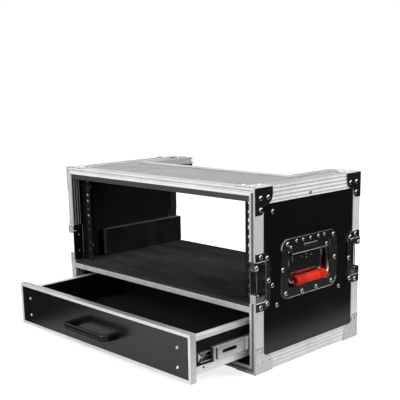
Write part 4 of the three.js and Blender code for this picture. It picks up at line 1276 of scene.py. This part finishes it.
def add_rest_block(side, sign):
    """Foam block on the side wall, its inner edges rounded, with painted light on its top
    and on a band of its front end.
    """
    node = f"rest_block_{side}"
    low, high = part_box(node)
    inner = low.x if side == "right" else high.x

    def at_inner(vert):
        return abs(vert.co.x - inner) < 1e-5

    def on_lit_end(face):
        front = face.normal.y < -MOSTLY and not faces_up(face)
        return front and abs(face.center.x - inner) < BLOCK_LIT_BAND

    bm = plain_solid(node)
    rims = corners(bm, SHARP, lambda edge: any(map(at_inner, edge.verts)))
    rounded(bm, rims, BLOCK_ROUND, 4)
    divided(bm, Y, even(low.y, high.y, 16), near=0)
    divided(bm, Z, even(low.z, high.z, 5), near=0)
    divided(bm, X, [inner + sign * BLOCK_LIT_BAND], near=0)
    for vert in filter(at_inner, bm.verts):
        vert.co.x += sign * BLOCK_SAG * (1 + noise.noise(vert.co * BLOCK_WAVES))
    foam = stand_in(node, f"rest_foam_{side}", bm, BLOCK_FOAM, 60)
    dressed(foam, [(BLOCK_TOP_LIGHT, faces_up), (BLOCK_END_LIGHT, on_lit_end)])


add_shelf_foam()
for side, sign in SIDES.items():
    add_rest_block(side, sign)

# Camera and studio

CAMERA_PLACE = (1.15198, -1.13880, 0.51314)
CAMERA_TURN = (77.7258, 1.1258, 46.0469)
CAMERA_LENS = 71.698
CAMERA_SHIFT = (0.01518, 0.125)

camera_data = bpy.data.cameras.new("camera")
camera_data.lens = CAMERA_LENS
camera_data.sensor_width = 36.0
camera_data.shift_x, camera_data.shift_y = CAMERA_SHIFT
camera = linked("camera", camera_data)
camera.location = CAMERA_PLACE
camera.rotation_euler = [math.radians(angle) for angle in CAMERA_TURN]
bpy.context.scene.camera = camera

# Light levels and the stage's sizes, in metres
AMBIENT = 0.17
FLOOR_HALF = 6.0
TABLE_GREY = (0.6, 0.6, 0.6)
TABLE_CENTRE = (0.055, -0.105, 0)
TABLE_HALF = (0.285, 0.555, 1)
TABLE_FADE = 0.08
TABLE_SPREAD, TABLE_GLOW = (0.45, 1.3), (0.8, 1.0)
MIRRORED_TABLE = 0.02
SURROUND_FADE, SURROUND_LEVEL = 0.8, (0.035, 0.006)
WALL_AWAY = 1.5
WALL_HEIGHT = 0.8
WALL_WIDTH = 3.2
WALL_LEVEL = 0.012
WALL_TURNS = {"wall_behind_right": 43.7, "wall_front_left": 223.7}
FLOOR_UNDER, SURROUND_OVER = 0.0002, 0.0001
# Lamps: place, target, size and power
FRONT_LAMP = ((-0.3, -2.1, 1.35), (0, -0.1, 0.15), (1.8, 1.4), 45)
SIDE_LAMP = ((1.7, 1.45, 1.15), (0.1, 0, 0.15), (1.3, 1.3), 66)
LAMP_GLOW = 3.0


def set_world():
    """White where the camera or a shiny surface sees it, dim as a light."""
    world = bpy.data.worlds.new("pale_room")
    bpy.context.scene.world = world
    world.use_nodes = True
    graph = Graph(world.node_tree)
    shown = graph.add("LightPath", {}, "Is Camera Ray")
    for kind in ("Is Glossy Ray", "Is Transmission Ray"):
        shown = graph.math("MAXIMUM", shown, graph.add("LightPath", {}, kind))
    level = graph.between(shown, 0, 1, AMBIENT, 1)
    graph.fill(graph.nodes["Background"], {"Color": (1, 1, 1, 1), "Strength": level})


def stage_plane(name, half, z, material):
    bm = bmesh.new()
    bmesh.ops.create_grid(bm, x_segments=1, y_segments=1, size=half)
    bmesh.ops.translate(bm, vec=(0, 0, z), verts=bm.verts)
    mesh = as_mesh(bm, name)
    mesh.materials.append(material)
    plane = linked(name, mesh)
    return plane


def floor_material():
    """White table top that stays white in the picture but keeps its shadows."""
    floor = Finish("white_table", TABLE_GREY, 0.6, shine=0.2)
    away = floor.add("VectorMath", {0: floor.place}, "Value", "LENGTH")
    level = floor.between(away, *TABLE_SPREAD, *TABLE_GLOW)
    seen = floor.math("MULTIPLY", level, floor.add("LightPath", {}, "Is Camera Ray"))
    shiny = floor.add("LightPath", {}, "Is Glossy Ray")
    mirrored_level = floor.math("MULTIPLY", shiny, MIRRORED_TABLE)
    lift = floor.math("MAXIMUM", seen, mirrored_level)
    floor.shade(Emission_Color=(1, 1, 1, 1), Emission_Strength=lift)
    return floor.material


def dark_surround_material():
    """Dark beyond the table's edge, clear over the table, for what mirrors see."""
    dark = Finish("dark_surround")
    place = dark.place
    for operation, amounts in (
        ("SUBTRACT", {1: TABLE_CENTRE}),
        ("ABSOLUTE", {}),
        ("SUBTRACT", {1: TABLE_HALF}),
    ):
        place = dark.add("VectorMath", {0: place, **amounts}, "Vector", operation)
    beyond = [dark.add("SeparateXYZ", {0: place}, axis) for axis in "XY"]
    outside = dark.math("MAXIMUM", *beyond)
    fade = dark.between(outside, 0, TABLE_FADE, 0, 1)
    level = dark.between(outside, 0, SURROUND_FADE, *SURROUND_LEVEL)
    glow = dark.add("Emission", {"Strength": level})
    clear = dark.add("BsdfTransparent", {})
    dark.show(dark.add("MixShader", {0: fade, 1: clear, 2: glow}))
    return dark.material


def glow_material(name, strength):
    """An even glow: the dark of a far wall, or a lamp's image in polished parts."""
    glow = Finish(name)
    glow.show(glow.add("Emission", {"Color": (1, 1, 1, 1), "Strength": strength}))
    return glow.material


def only_mirrored(piece):
    """Leaves a stage piece to what shiny surfaces show."""
    piece.visible_camera = False
    piece.visible_diffuse = False
    piece.visible_shadow = False


def add_lamp(name, place, target, size, energy):
    data = bpy.data.lights.new(name, "AREA")
    data.shape = "RECTANGLE"
    data.size, data.size_y = size
    data.energy = energy
    lamp = linked(name, data)
    lamp.location = place
    direction = Vector(target) - Vector(place)
    lamp.rotation_euler = direction.to_track_quat("-Z", "Y").to_euler()
    return lamp


set_world()
floor_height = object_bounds()[0][2] - FLOOR_UNDER
stage_plane("floor", FLOOR_HALF, floor_height, floor_material())
above = floor_height + SURROUND_OVER
surround = stage_plane("dark_surround", FLOOR_HALF, above, dark_surround_material())
only_mirrored(surround)

for name, turn in WALL_TURNS.items():
    wall = stage_plane(name, 1.0, 0, glow_material("dark_wall", WALL_LEVEL))
    wall.scale = (WALL_HEIGHT / 2, WALL_WIDTH / 2, 1)
    around = math.radians(turn)
    wall.rotation_euler = (0, QUARTER, around)
    wall.location = (
        WALL_AWAY * math.cos(around), WALL_AWAY * math.sin(around),
        floor_height + WALL_HEIGHT / 2,
    )
    only_mirrored(wall)

add_lamp("front_lamp", *FRONT_LAMP)
side_lamp = add_lamp("side_lamp", *SIDE_LAMP)
side_lamp.visible_glossy = False
lamp_glow = glow_material("lamp_glow", LAMP_GLOW)
mirrored_lamp = stage_plane("mirrored_side_lamp", SIDE_LAMP[2][0] / 2, 0, lamp_glow)
mirrored_lamp.location = side_lamp.location
mirrored_lamp.rotation_euler = side_lamp.rotation_euler
only_mirrored(mirrored_lamp)

bpy.context.scene.view_settings.view_transform = "Standard"
